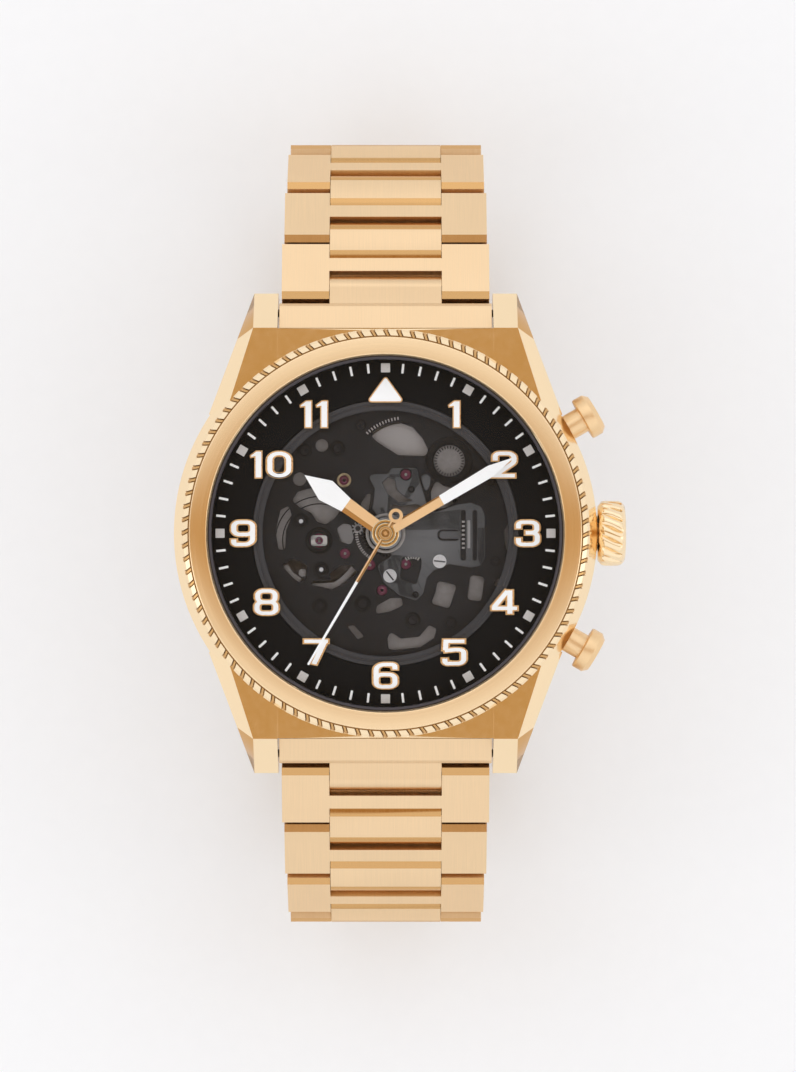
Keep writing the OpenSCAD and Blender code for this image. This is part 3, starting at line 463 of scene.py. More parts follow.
def refine(node, material, width_mm, segments=2):
    """Shows a CAD node with its edges rounded and a material."""
    obj = nodes[node]
    obj.data.materials.clear()
    obj.data.materials.append(finish[material])
    for polygon in obj.data.polygons:
        polygon.material_index = 0
    if width_mm:
        weld = obj.modifiers.new("weld", "WELD")
        weld.merge_threshold = 1e-6
        bevel = obj.modifiers.new("edges", "BEVEL")
        bevel.width = width_mm * MM
        bevel.segments = segments
        bevel.limit_method = "ANGLE"
        bevel.angle_limit = math.radians(28)
        bevel.harden_normals = False
        normals = obj.modifiers.new("normals", "WEIGHTED_NORMAL")
        normals.keep_sharp = False
        normals.weight = 80


# the cosine between a link's top and a face that slopes away from it, and the least area of such a face, for
# the faces that get painted shade
SLOPE_RISE = (0.55, 0.985)
SLOPE_AREA = 1.2 * MM * MM
# the tips of the lugs lie beyond these distances from the middle, in millimetres
LUG_X = 13.6
LUG_Y = 21


def polish_sides_and_shade_slopes(node, along):
    """Polishes a link's sides, and gives its faces that slope away from the brushed top a darker gold:
    painted shade.

    along is the direction in which the link points away from the case.
    """
    obj = nodes[node]
    for look in ("bevel", "polished"):
        obj.data.materials.append(finish[look])
    along = along.normalized()
    up = Vector((-along.z, along.y)) if along.y > 0 else Vector((along.z, -along.y))
    for polygon in obj.data.polygons:
        n = polygon.normal
        rise = n.y * up.x + n.z * up.y
        if abs(n.x) > 0.9:
            polygon.material_index = 2
        # painted shade: faces sloping away from the top take the darker gold
        elif SLOPE_RISE[0] < rise < SLOPE_RISE[1] and abs(n.x) < 0.1 and polygon.area > SLOPE_AREA:
            polygon.material_index = 1


LINKS = [f"link_{side}_{i}" for side in ("12", "6") for i in range(1, 10)]
KEPT = [
    (["case_middle", "case_back"], "polished", 0.12),
    (LINKS + ["end_link_12", "end_link_6"], "brushed", 0.12),
    (["clasp_cover"], "brushed", 0.15),
    (["clasp_inner_blade", "clasp_outer_blade"], "blade", 0.08),
    (["clasp_button_left", "clasp_button_right"], "edge", 0.1),
    (["pusher_2", "pusher_4"], "satin", 0.1),
    (["spring_bars", "setting_lever"], "steel", 0.04),
    (["case_back_crystal", "crystal"], "clear", 0),
    (["crystal_gasket"], "rubber", 0.03),
    (["casing_ring"], "lacquer", 0.05),
    (["dial_glass"], "smoked", 0),
    (["hour_wheel", "minute_wheel"], "works_wheel", 0),
    (["barrel", "pallet_fork", "escape_wheel", "centre_wheel", "third_wheel", "fourth_wheel"],
     "works_pale", 0),
    (["cannon_pinion"], "steel", 0),
    (["movement_screws"], "silver_pad", 0.04),
    (["train_bridge", "balance_cock"], "works_pale", 0.06),
    (["movement_jewels"], "ruby", 0.05),
    (["balance_wheel"], "works_pale", 0.04),
    (["hairspring"], "spring", 0),
    (["rotor"], "works_pale", 0.06),
]
for names, material, width in KEPT:
    for name in names:
        refine(name, material, width)


def shade_lug_facets():
    """Gives the triangular facet beside each lug's tip a darker gold: painted shade."""
    case = nodes["case_middle"]
    case.data.materials.append(finish["bevel"])
    for polygon in case.data.polygons:
        x, y = (abs(c) / MM for c in polygon.center[:2])
        if x > LUG_X and y > LUG_Y and 0.2 < polygon.normal.z < 0.8:
            polygon.material_index = 1


shade_lug_facets()
PINS = {j["child"]: Vector(j["pos_m"]) for j in frame["joints"] if j["child"] in LINKS}
for side in ("12", "6"):
    for i in range(1, 9):
        polish_sides_and_shade_slopes(f"link_{side}_{i}", PINS[f"link_{side}_{i + 1}"] - PINS[f"link_{side}_{i}"])


# ---- bezel

BEZEL_R = across("bezel")
BEZEL_FOOT = foot_of("bezel")
BEZEL_TOP = top_of("bezel")
BORE_R = 18.16
COIN_TEETH = 96
COIN_SLANT = math.radians(0.8)
FLAT_R = 20.2
RING_STEPS = 240


def coin_edge():
    """The conical band of slanted lands. Between two lands a strip stands between two narrow grooves."""
    pitch = math.tau / COIN_TEETH
    # how much of a groove's depth counts along the radius and along the height
    depth_in, depth_down = 0.6, 0.55
    # (share of the pitch, depth) across one land, a groove, the strip and the other groove
    land = [(0.0, 0.0), (0.60, 0.0), (0.62, 0.22), (0.70, 0.22), (0.72, 0.06), (0.88, 0.06),
            (0.90, 0.22), (0.98, 0.22)]
    # the material of the face that starts at each of these; the darker golds on the grooves and the strip
    # are painted shade
    looks = (0, 1, 1, 1, 2, 1, 1, 1)
    # (radius, height below the top, turn) down the band
    band = [(FLAT_R + 0.1, 0.5, 0.0), (FLAT_R + 0.1, 0.14, 0.0), (BEZEL_R - 0.26, 0.42, 0.8),
            (BEZEL_R, 0.8, 1.0), (BEZEL_R, 1.7, 1.25), (BEZEL_R - 0.2, 2.0, 1.3)]
    rows = []
    for r, drop, turn in band:
        row = []
        for i in range(COIN_TEETH):
            for share, depth in land:
                a = (i + share) * pitch + turn * COIN_SLANT
                here = r - depth * depth_in
                row.append((here * math.cos(a), here * math.sin(a), BEZEL_TOP - drop - depth * depth_down))
        rows.append(row)
    for r in (BEZEL_R - 0.2, FLAT_R + 0.1):
        rows.append([(x, y, BEZEL_FOOT) for x, y in circle(0, 0, r, len(rows[0]))])
    obj = rings("bezel_coin_edge", rows, closed=True)
    settle(obj, "polished", "root", ["bezel"])
    obj.data.materials.append(finish["groove"])
    obj.data.materials.append(finish["bevel"])
    for polygon in obj.data.polygons:
        polygon.material_index = looks[polygon.index % len(land)]


def bezel_ring():
    """The brushed flat ring, the seam round it, a dark ring of painted shade, and the polished lip inside
    it.
    """
    flat = turned("bezel_ring", [
        (BORE_R + 0.22, BEZEL_TOP - 0.05), (BORE_R + 0.3, BEZEL_TOP), (BORE_R + 0.34, BEZEL_TOP),
        (FLAT_R - 0.16, BEZEL_TOP - 0.03), (FLAT_R - 0.12, BEZEL_TOP - 0.04),
        (FLAT_R - 0.05, BEZEL_TOP - 0.1), (FLAT_R - 0.05, BEZEL_FOOT), (BORE_R + 0.22, BEZEL_FOOT)],
        steps=RING_STEPS)
    settle(flat, "ring", "root")
    seam = turned("bezel_seam_shade", [
        (FLAT_R - 0.06, BEZEL_TOP - 0.5), (FLAT_R - 0.06, BEZEL_TOP - 0.3), (FLAT_R + 0.12, BEZEL_TOP - 0.3),
        (FLAT_R + 0.12, BEZEL_TOP - 0.5)], steps=RING_STEPS)
    # painted shade: a dark ring in the gap
    settle(seam, "groove", "root")
    lip = turned("bezel_lip", [
        (BORE_R, BEZEL_TOP - 0.4), (BORE_R + 0.06, BEZEL_TOP - 0.22), (BORE_R + 0.24, BEZEL_TOP - 0.03),
        (BORE_R + 0.24, BEZEL_FOOT), (BORE_R, BEZEL_FOOT)], steps=RING_STEPS)
    settle(lip, "polished", "root")


coin_edge()
bezel_ring()


# ---- dial

DIAL_TOP = top_of("dial_ring")
DIAL_FOOT = foot_of("dial_ring")
DIAL_R = across("dial_ring")
GLASS_R = across("dial_glass")
TRACK_R = 17.1
TICK = (0.24, 0.98)
PAD = 0.94
PAINT_H = 0.03


def dial_ring():
    """The black ring, its minute track and hour pads, and the stepped rim of the smoked window."""
    profile = [(GLASS_R + 0.04, DIAL_FOOT), (DIAL_R, DIAL_FOOT), (DIAL_R, DIAL_TOP),
               (GLASS_R + 0.35, DIAL_TOP), (GLASS_R + 0.05, DIAL_TOP - 0.15)]
    ring = turned("dial_ring_black", profile, steps=RING_STEPS)
    settle(ring, "black", "root", ["dial_ring"])
    low, high = DIAL_TOP - 0.02, DIAL_TOP + PAINT_H
    ticks = [turn_clock(box_outline(0, TRACK_R, *TICK, radius=0.03), 6 * i) for i in range(60) if i % 5]
    track = cut_plate("minute_track", ticks, low, high, 0.01)
    settle(track, "lume", "root")
    pads = [turn_clock(box_outline(0, TRACK_R, PAD, PAD, radius=0.05), 30 * i) for i in range(12)]
    settle(cut_plate("hour_pads", pads, low, high, 0.01), "silver_pad", "root")
    low, high = DIAL_FOOT + 0.3, DIAL_FOOT + 0.46
    groove = high - 0.06
    step = turned("dial_glass_step", [
        (12.7, low), (12.8, high), (13.15, high), (13.2, groove), (13.35, groove), (13.4, high),
        (GLASS_R - 0.02, high), (GLASS_R - 0.02, low)], steps=200)
    settle(step, "smoked_ring", "root")


dial_ring()

# the numerals' middles lie on NUMERAL_R, but those of 3, 6 and 9 on QUARTER_R
NUMERAL_R = 14.2
QUARTER_R = 14.7
DIGIT_GAP = 0.3
# how far 10 and 11 stand to the right of their places
TWO_DIGIT_SHIFT = {10: 0.5, 11: -0.3}
NUMERAL_H = 2.92
NUMERAL_W = 2.85
ONE_W = 1.35
LINE_W = 0.62
WIDEN = 1.46
RIM = 0.13
ROUND = 0.72
# each numeral's strokes through corners in a box 1 wide and 1 high: (corners, closed, rounding)
DIGITS = {
    0: [([(0, 0), (1, 0), (1, 1), (0, 1)], True, 0.9)],
    2: [([(0, 0.70), (0, 1), (1, 1), (1, 0.60), (0.12, 0.08)], False, 0.7),
        ([(-0.12, 0), (1, 0)], False, 0)],
    3: [([(0, 0.74), (0, 1), (0.97, 1), (0.97, 0.53), (0.42, 0.53)], False, 0.6),
        ([(0.42, 0.52), (1, 0.52), (1, 0), (0, 0), (0, 0.26)], False, 0.6)],
    4: [([(0.78, 0), (0.78, 1)], False, 0), ([(0.64, 0.98), (-0.04, 0.30)], False, 0),
        ([(-0.14, 0.22), (1.12, 0.22)], False, 0)],
    5: [([(1, 1), (0.06, 1), (0.03, 0.62)], False, 0),
        ([(0.03, 0.58), (0.5, 0.62), (1, 0.62), (1, 0), (0, 0), (0, 0.2)], False, 0.6)],
    6: [([(0, 0), (1, 0), (1, 0.55), (0, 0.55)], True, 0.6),
        ([(0, 0.35), (0, 1), (1, 1), (1, 0.80)], False, 0.8)],
    7: [([(-0.12, 1), (1.05, 1)], False, 0), ([(0.92, 0.98), (0.36, 0)], False, 0)],
    8: [([(0, 0), (1, 0), (1, 0.5), (0, 0.5)], True, 0.6),
        ([(0.04, 0.5), (0.96, 0.5), (0.96, 1), (0.04, 1)], True, 0.6)],
}
DIGITS[9] = [([(1 - x, 1 - y) for x, y in corners], closed, r) for corners, closed, r in DIGITS[6]]
# the outline of the numeral one, in millimetres
ONE = [(0.5, 0), (ONE_W, 0), (ONE_W, NUMERAL_H), (0.66, NUMERAL_H), (0, 2.42), (0.08, 2.1), (0.5, 2.18)]


def digit_outlines(number, left, bottom, rim):
    """Outlines of one digit's strokes, narrowed by rim, each a list of one or two loops."""
    if number == 1:
        return [[shifted(ONE, left, bottom)]]
    made = []
    w, h = NUMERAL_W / WIDEN - LINE_W, NUMERAL_H - LINE_W
    for corners, closed, rounding in DIGITS[number]:
        scaled = [(LINE_W / 2 + x * w, LINE_W / 2 + y * h) for x, y in corners]
        path = rounded(scaled, ROUND * rounding, closed) if rounding else scaled
        if not closed:
            for end, inner in ((0, 1), (-1, -2)):
                away = (Vector(path[end]) - Vector(path[inner])).normalized()
                path[end] = tuple(Vector(path[end]) + away * (LINE_W * 0.3 - rim))
        loops = stroke(path, LINE_W - 2 * rim, closed)
        made.append([[(left + x * WIDEN, bottom + y) for x, y in loop] for loop in loops])
    return made


def numeral(hour):
    """The digits of an hour's numeral with their lower left corners."""
    a = math.radians(30 * hour)
    r = QUARTER_R if hour % 3 == 0 else NUMERAL_R
    x, y = r * math.sin(a), r * math.cos(a) - NUMERAL_H / 2
    if hour < 10:
        return [(hour, x - (ONE_W if hour == 1 else NUMERAL_W) / 2, y)]
    second = NUMERAL_W if hour == 10 else ONE_W
    left = x - (ONE_W + DIGIT_GAP + second) / 2 + TWO_DIGIT_SHIFT[hour]
    return [(1, left, y), (hour - 10, left + ONE_W + DIGIT_GAP, y)]


def hour_markers():
    """The gold rims and white faces of the numerals and of the triangle at 12."""
    base, face = [], []
    top = top_of("hour_markers")
    for hour in range(1, 12):
        for number, left, bottom in numeral(hour):
            name = f"{hour}_{number}_"
            inset = RIM if number == 1 else 0
            for k, loops in enumerate(digit_outlines(number, left, bottom, 0)):
                base.append(cut_plate(f"rim_{name}{k}", loops, DIAL_TOP, top - 0.06 - 0.003 * k, 0.05))
            for k, loops in enumerate(digit_outlines(number, left, bottom, RIM)):
                face.append(cut_plate(f"face_{name}{k}", loops, top - 0.12, top - 0.003 * k, 0.02, inset))
    triangle = [rounded([(-2.05, 13.5), (2.05, 13.5), (0, 16.35)], 0.3)]
    base.append(cut_plate("rim_12", triangle, DIAL_TOP, top - 0.06, 0.05))
    face.append(cut_plate("face_12", triangle, top - 0.12, top, 0.02, RIM))
    settle(join("numeral_rims", base), "rim", "root", ["hour_markers"])
    settle(join("numeral_faces", face), "lume", "root")


hour_markers()


# ---- hands

# each hub's top stands this much above its hand
HUB_RISE = 0.1
# where the hands point, in degrees clockwise from 12
HOUR_ANGLE = -54.3
MINUTE_ANGLE = 59.4
SECONDS_ANGLE = 210.5


def faceted(name, stations, angle, low, high, body, replaced=(), ridge=0.0):
    """The gold part of a hand: two long facets that meet in a ridge. stations holds (distance, half width).

    ridge says where the ridge lies, as a share of the half width.
    """
    rows = []
    for y, half in stations:
        section = [(-half, low), (-half, high - 0.14), (ridge * half, high), (half, high - 0.1), (half, low)]
        rows.append([(*turn_clock([(x, y)], angle)[0], z) for x, z in section])
    obj = rings(name, rows)
    ends = bmesh.new()
    ends.from_mesh(obj.data)
    bmesh.ops.holes_fill(ends, edges=ends.edges)
    bmesh.ops.recalc_face_normals(ends, faces=ends.faces)
    ends.to_mesh(obj.data)
    ends.free()
    settle(obj, "hand", body, replaced)
    obj.data.materials.append(finish["hand_shade"])
    # painted shade: the facet on the counterclockwise side is the darker one
    side = Vector((-math.cos(math.radians(angle)), math.sin(math.radians(angle)), 0))
    for polygon in obj.data.polygons:
        if polygon.normal.z > 0.2 and polygon.normal.dot(side) > 0.02:
            polygon.material_index = 1
    return obj


def lume(name, outline, angle, low, high, body):
    """The white outer part of a hand."""
    obj = cut_plate(name, [turn_clock(outline, angle)], low, high, 0.02)
    return settle(obj, "lume", body)


def hub_shade_ring(name, body, inner, outer, high):
    """A dark line round a hub: painted shade in its groove."""
    low, top = high - 0.16, high - 0.04
    ring = turned(name, [(inner, low), (outer, low), (outer, top), (inner, top)], steps=72)
    settle(ring, "groove", body)


def hub(name, body, radius, bore, low, high):
    """The ring that carries a hand, with a groove round its top that holds a line of painted shade."""
    obj = turned(name, [(bore, low), (radius, low), (radius, high - 0.06), (radius - 0.08, high),
                        (radius - 0.25, high), (radius - 0.33, high - 0.07), (bore + 0.1, high - 0.07),
                        (bore, high - 0.1)], steps=72)
    settle(obj, "polished", body)
    hub_shade_ring(name + "_groove", body, bore + 0.02, radius - 0.26, high)


def hour_hand():
    low, high = foot_of("hour_hand"), top_of("hour_hand") - HUB_RISE
    faceted("hour_hand_gold", [(0.9, 0.7), (5.0, 0.81)], HOUR_ANGLE, low, high, "hour", ["hour_hand"], -0.35)
    outline = [(-0.81, 5), (-1.2, 7.6), (0, 10.3), (1.2, 7.6), (0.81, 5)]
    lume("hour_hand_lume", outline, HOUR_ANGLE, low, high, "hour")
    hub("hour_hand_hub", "hour", 1.42, 1.12, low, high + HUB_RISE)


def minute_hand():
    low, high = foot_of("minute_hand"), top_of("minute_hand") - HUB_RISE
    faceted("minute_hand_gold", [(0.8, 0.5), (6.7, 0.53)], MINUTE_ANGLE, low, high, "minute",
            ["minute_hand"], -0.7)
    outline = [(-0.53, 6.7), (-0.62, 12.6), (0, 15.4), (0.62, 12.6), (0.53, 6.7)]
    lume("minute_hand_lume", outline, MINUTE_ANGLE, low, high, "minute")
    hub("minute_hand_hub", "minute", 1.06, 0.72, low, high + HUB_RISE)


def seconds_hand():
    """The thin hand with a plain ring as its counterweight and a brown pin in its hub."""
    low, high = foot_of("seconds_hand"), top_of("seconds_hand") - HUB_RISE
    top = high + HUB_RISE
    faceted("seconds_hand_gold", [(-1.5, 0.17), (5.8, 0.16)], SECONDS_ANGLE, low, high, "seconds",
            ["seconds_hand"])
    lume("seconds_hand_tip", [(-0.15, 5.8), (-0.11, 15.7), (0.11, 15.7), (0.15, 5.8)], SECONDS_ANGLE,
         low, high, "seconds")
    weight = [turn_clock(circle(0, -2.1, radius), SECONDS_ANGLE) for radius in (0.74, 0.4)]
    weight = cut_plate("seconds_hand_weight", weight, low, high, 0.03)
    settle(weight, "hand", "seconds")
    cap = turned("seconds_hand_hub", [
        (0.02, top - 0.05), (0.2, top - 0.05), (0.22, top - 0.07), (0.42, top - 0.07), (0.5, top),
        (0.68, top), (0.76, top - 0.07), (0.76, low), (0.02, low)], steps=64)
    settle(cap, "polished", "seconds")
    # painted shade: dark lines in the hub's groove and round its edge
    hub_shade_ring("seconds_hand_hub_groove", "seconds", 0.24, 0.4, top)
    hub_shade_ring("seconds_hand_hub_edge_shade", "seconds", 0.69, 0.76, top)
    pin = turned("seconds_hand_pin", [(0.01, high), (0.2, high), (0.19, top), (0.01, top)], steps=32)
    settle(pin, "rim", "seconds")


hour_hand()
minute_hand()
seconds_hand()


# ---- crown

CROWN_FOOT_X = 22.0
CROWN_SPIRAL = math.radians(26)
FLUTES = 16
STEPS_PER_FLUTE = 14
# (x, radius) along the winding stem
STEM = ((7.0, 0.42), (19.2, 0.42), (19.2, 0.74), (22.2, 0.74))


def crown():
    """The fluted grip, whose flutes twist a little along it, and the winding stem."""
    low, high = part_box("crown")
    x0, x1 = CROWN_FOOT_X, high.x / MM
    radius = (high.y - low.y) / 2 / MM
    z0 = (high.z + low.z) / 2 / MM
    around = FLUTES * STEPS_PER_FLUTE
    # (distance from the case as a share of the length, radius lost, flute depth)
    profile = [(0.0, 1.5, 0.0), (0.02, 0.55, 0.0), (0.14, 0.1, 0.02), (0.24, 0.0, 0.34), (0.5, 0.0, 0.42),
               (0.76, 0.0, 0.34), (0.86, 0.1, 0.02), (0.98, 0.5, 0.0), (1.0, 1.0, 0.0), (0.99, 3.3, 0.0)]
    rows = []
    for share, lost, depth in profile:
        row = []
        for i in range(around):
            phase = i / STEPS_PER_FLUTE % 1
            r = radius - lost - depth * (1 - abs(math.sin(math.pi * phase))) ** 1.5
            a = math.tau * i / around + CROWN_SPIRAL * share
            row.append((x0 + (x1 - x0) * share, r * math.cos(a), z0 + r * math.sin(a)))
        rows.append(row)
    grip = rings("crown_grip", rows, closed=True)
    soften(grip, 50)
    settle(grip, "polished", "crown", ["crown"])
    obj = rings("crown_stem", [[(x, y, z) for y, z in circle(0, z0, r, 32)] for x, r in STEM])
    soften(obj)
    settle(obj, "steel", "crown")


crown()


# ---- movement seen through the dial

RAISED_TOP = PLATE_TOP + 0.2
# the pale floors of the shallow windows
FLOOR_TOP = PLATE_FOOT + 1.02
FLOOR_H = 0.1
BALANCE = (-6.87, -0.75)
BARREL = (2.1, 6.1)
DISC = (6.6, 7.5)
JEWELS = [(-4.3, 5.5), (-4.2, -2.1), (-1.6, -3.3), (2.1, -3.2), (2.1, 6.1), (-0.36, -5.9)]
# (x, y, radius) of the round bosses on the plate
BOSSES = [(-2.4, -7.3, 0.87), (2.8, -9.0, 0.83), (-6.8, -7.5, 0.8), (6.7, -9.3, 0.7), (8.5, -10.1, 0.6),
          (-6.65, -3.75, 0.8), (-8.75, 1.25, 0.8), (11.4, -2.9, 0.5), (-8.4, 8.5, 0.8), (-5.0, 8.8, 0.8),
          (-2.6, 11.2, 0.6), (10.9, 5.3, 0.4)]
# (x, y, angle of the slot)
SCREW_HEADS = [(5.6, -2.9, -6), (0.46, -4.4, -52)]
SCREW_R = 0.7
# the paths of two levers
LEVER = [(-7.7, -5.5), (-5.2, -5.4), (-4.2, -4.6), (-3.3, -3.6)]
# start and end of the balance's rim lines, painted shade along the rim's edges, in degrees from +X
RIM_SHADE_LINE = (45, 215)
HOOK = [(-10.5, -3.4), (-9.9, -4.3), (-8.9, -5.0)]
# the bosses with white pins
BRIGHT_PINS = ((-6.65, -3.75), (-8.75, 1.25))
RAISED_BOSSES = [(2.68, 4.54, 0.33), (3.1, -6.35, 0.33), (7.2, 3.3, 0.25)]


def deep_windows():
    """Openings through the whole plate, over the barrel, the balance and the escapement."""
    return [
        rounded([(-1.6, 10.2), (-0.9, 10.9), (0.2, 11.3), (1.4, 11.5), (2.8, 11.0), (3.8, 9.9), (4.4, 8.7),
                 (4.2, 8.0), (1.3, 8.1), (-0.9, 9.5)], 0.5),
        rounded([(3.6, 5.9), (4.2, 6.2), (4.7, 5.8), (4.6, 4.9), (4.2, 4.2), (3.9, 4.9)], 0.3),
        rounded([(4.7, 4.3), (5.2, 5.5), (6.0, 4.9), (7.3, 4.6), (7.6, 3.6), (6.4, 2.7), (4.8, 2.4)], 0.35),
        rounded([(-10.8, -3.3), (-9.6, -2.6), (-8.2, -3.3), (-8.2, -4.5), (-8.8, -5.2), (-9.6, -4.6)], 0.3),
        rounded([(-7.7, -5.3), (-5.6, -5.8), (-4.4, -5.3), (-2.9, -4.1), (-3.4, -3.3), (-4.5, -3.3),
                 (-5.8, -4.2), (-5.6, -4.9), (-7.5, -4.9)], 0.25),
    ]


def floored_windows():
    """Shallow openings over pale parts. The first two also go through the raised bridge."""
    return [
        rounded([(-0.35, 5.3), (0.3, 5.8), (1.0, 5.5), (1.15, 4.5), (2.1, 3.65), (3.1, 3.4), (1.4, 3.2),
                 (0.2, 4.1)], 0.3),
        rounded([(0.6, 3.1), (1.4, 2.8), (3.3, 3.0), (3.9, 2.6), (2.3, 2.0), (0.8, 2.0)], 0.25),
        rounded([(-2.6, 3.0), (-2.0, 4.0), (-1.5, 4.2), (-1.7, 2.6), (-2.0, 2.1)], 0.25),
        rounded([(-10.9, 2.4), (-10.0, 2.9), (-9.7, 1.8), (-10.3, 0.3), (-10.4, -1.7), (-11.1, -1.7),
                 (-11.4, 0.2)], 0.3),
        rounded([(-9.7, 3.4), (-9.1, 4.3), (-8.0, 4.65), (-6.2, 4.6), (-4.3, 3.9), (-4.5, 2.6), (-5.3, 1.5),
                 (-6.2, 0.9), (-7.1, 1.2), (-7.7, 2.1), (-8.9, 2.7)], 0.35),
        rounded([(-5.1, 0.5), (-4.4, 1.0), (-3.6, 0.9), (-3.3, -0.5), (-3.6, -1.2), (-4.6, -0.9)], 0.35),
        rounded([(-0.9, -7.5), (0.5, -6.7), (1.7, -6.7), (1.8, -7.5), (0.5, -8.1), (-1.1, -8.4)], 0.3),
        rounded([(4.7, -7.3), (6.6, -7.8), (7.4, -5.4), (5.4, -4.9), (5.2, -6.0)], 0.35),
        box_outline(9.35, -5.7, 1.5, 2.6, 0.4, -8),
        rounded([(11.2, -5.4), (11.7, -5.5), (12.0, -4.6), (11.5, -4.8)], 0.1),
        rounded([(0.2, -10.9), (0.5, -10.2), (1.6, -10.9), (3.5, -10.7), (4.5, -9.5), (5.3, -9.9),
                 (5.0, -10.9), (3.6, -11.8), (0.9, -12.1), (0.3, -12.0)], 0.3),
        rounded([(-4.0, -9.6), (-3.3, -9.5), (-2.2, -10.7), (-2.9, -11.0)], 0.15),
        circle(*DISC, 1.62),
        circle(-6.6, 9.1, 0.66),
        circle(-8.9, 5.6, 0.7),
        rounded([(12.7, 1.1), (13.0, 0.3), (13.0, -0.9), (12.6, -2.0), (12.3, -0.9), (12.3, 0.3)], 0.1),
    ]


def teeth(centre, radius, first, last, count, size=0.26):
    """Small blocks along an arc, standing for a wheel's teeth. Angles are in degrees from +X."""
    made = []
    for i in range(count):
        angle = first + (last - first) * i / (count - 1)
        a = math.radians(angle)
        made.append(box_outline(centre[0] + radius * math.cos(a), centre[1] + radius * math.sin(a),
                                size * 1.5, size * 0.6, 0.04, angle))
    return made


def fix(obj, look, replaced=()):
    """Settles a piece of the movement that doesn't move."""
    settle(obj, look, "root", replaced)


def plate():
    """The grey main plate, its dark lower part, which is painted shade on the walls of the windows, and the
    pale parts close under its shallow windows.
    """
    holes = deep_windows() + floored_windows() + [circle(0, 0, 0.6), circle(*BALANCE, 1.12)]
    holes += [circle(x, y, 0.56, 24) for x, y in JEWELS]
    outer = circle(0, 0, 13.3, 128)
    top = cut_plate("plate_top", [outer] + holes, PLATE_TOP - 0.25, PLATE_TOP, 0.06)
    fix(top, "works", ["main_plate"])
    # painted shade: below its top layer the plate is near black
    body = cut_plate("plate_body_shade", [outer] + holes, PLATE_FOOT + 0.9, PLATE_TOP - 0.25, 0.02)
    fix(body, "works_dark")
    floors = [cut_plate(f"floor_{i}", [outline], FLOOR_TOP - FLOOR_H, FLOOR_TOP, 0.01, -0.03)
              for i, outline in enumerate(floored_windows())]
    fix(join("plate_floors", floors), "works_floor")
    # the plate behind the balance, over the rotor
    high = foot_of("balance_cock") - 0.04
    outlines = [circle(0, 0, 12.3, 128), circle(0, 0, 1.25, 48)]
    back = cut_plate("rotor_plate", outlines, high - 0.16, high, 0.03)
    fix(back, "works_pale")


def raised_bridge():
    """The lighter bridge round the centre, with the setting plate, its slots and the dark recesses."""
    outline = rounded([
        (-1.9, 6.1), (-1.1, 4.6), (-1.4, 2.5), (-0.6, 1.5), (0.6, -2.4), (-0.9, -3.3), (-0.2, -5.1),
        (1.4, -6.4), (3.2, -7.0), (3.95, -6.2), (4.3, -4.6), (5.0, -3.85), (6.6, -3.2), (8.8, -3.55),
        (9.8, -3.4), (10.3, -2.5), (10.3, 1.9), (9.9, 2.8), (8.8, 3.2), (7.4, 3.0), (5.2, 2.2), (4.5, 2.2),
        (4.1, 3.7), (3.5, 5.6), (3.3, 6.8), (0.6, 6.8), (0.3, 6.2)], 0.4)
    holes = floored_windows()[:2] + [deep_windows()[1]] + [
        rounded([(1.7, -2.4), (3.7, -2.5), (3.7, -3.5), (3.2, -5.3), (1.5, -4.7)], 0.3),
        box_outline(8.05, -0.2, 0.5, 5.2, 0.2), box_outline(9.25, -0.2, 0.42, 5.2, 0.2),
        rounded([(7.7, 0.4), (5.4, 0.4), (5.4, -0.75), (7.7, -0.75)], 0.5),
        circle(2.1, 6.1, 0.62, 32), circle(0, 0, 1.25)]
    bridge = cut_plate("raised_bridge", [outline] + holes, PLATE_TOP - 0.03, RAISED_TOP, 0.07)
    fix(bridge, "works_raised")
    outline = rounded([(7.9, 0.22), (5.6, 0.22), (5.6, -0.57), (7.9, -0.57)], 0.35)
    tongue = cut_plate("setting_tongue", [outline], PLATE_TOP - 0.03, RAISED_TOP - 0.03, 0.06)
    fix(tongue, "works_raised")
    outline = box_outline(8.62, -0.1, 0.3, 2.9, 0.06)
    bar = cut_plate("setting_bar", [outline], PLATE_TOP, RAISED_TOP + 0.1, 0.04)
    fix(bar, "works_wheel")


def rack_and_disc():
    """The rack of the setting plate, the teeth of three wheels, and the knurled disc in its dark rim."""
    rack = [box_outline(8.05, 1.2 - 0.45 * i, 0.3, 0.2, 0.06) for i in range(7)]
    rack += teeth(BARREL, 5.85, 133, 98, 12, 0.22) + teeth((2.8, -3.6), 1.15, 125, 58, 6)
    rack += teeth((0, 0), 3.0, 178, 235, 13, 0.22)
    rack = cut_plate("rack_teeth", rack, PLATE_TOP - 0.05, PLATE_TOP + 0.14, 0.01)
    fix(rack, "works_pale")
    rim = turned("disc_rim", [(1.66, PLATE_TOP - 0.05), (2.45, PLATE_TOP - 0.05), (2.4, PLATE_TOP + 0.16),
                              (2.1, PLATE_TOP + 0.2), (1.8, PLATE_TOP + 0.12)], DISC, 72)
    fix(rim, "works_dark")
    knurl = [shifted(box_outline(1.42, 0, 0.3, 0.12, 0.02), *DISC, 360 * i / 30) for i in range(30)]
    knurl = cut_plate("disc_knurl", knurl, FLOOR_TOP - 0.02, FLOOR_TOP + 0.04, 0.01)
    fix(knurl, "works_raised")


def centre_rings():
    """The two pale rings round the centre."""
    low, high = RAISED_TOP - 0.12, RAISED_TOP + 0.06
    for name, inner, outer, look in (("centre_ring_outer", 1.75, 2.06, "works_floor"),
                                     ("centre_ring_inner", 1.25, 1.62, "works_wheel")):
        ring = turned(name, [(inner, low), (outer, low), (outer, high - 0.03), (outer - 0.05, high),
                             (inner + 0.05, high), (inner, high - 0.03)], steps=96)
        fix(ring, look)


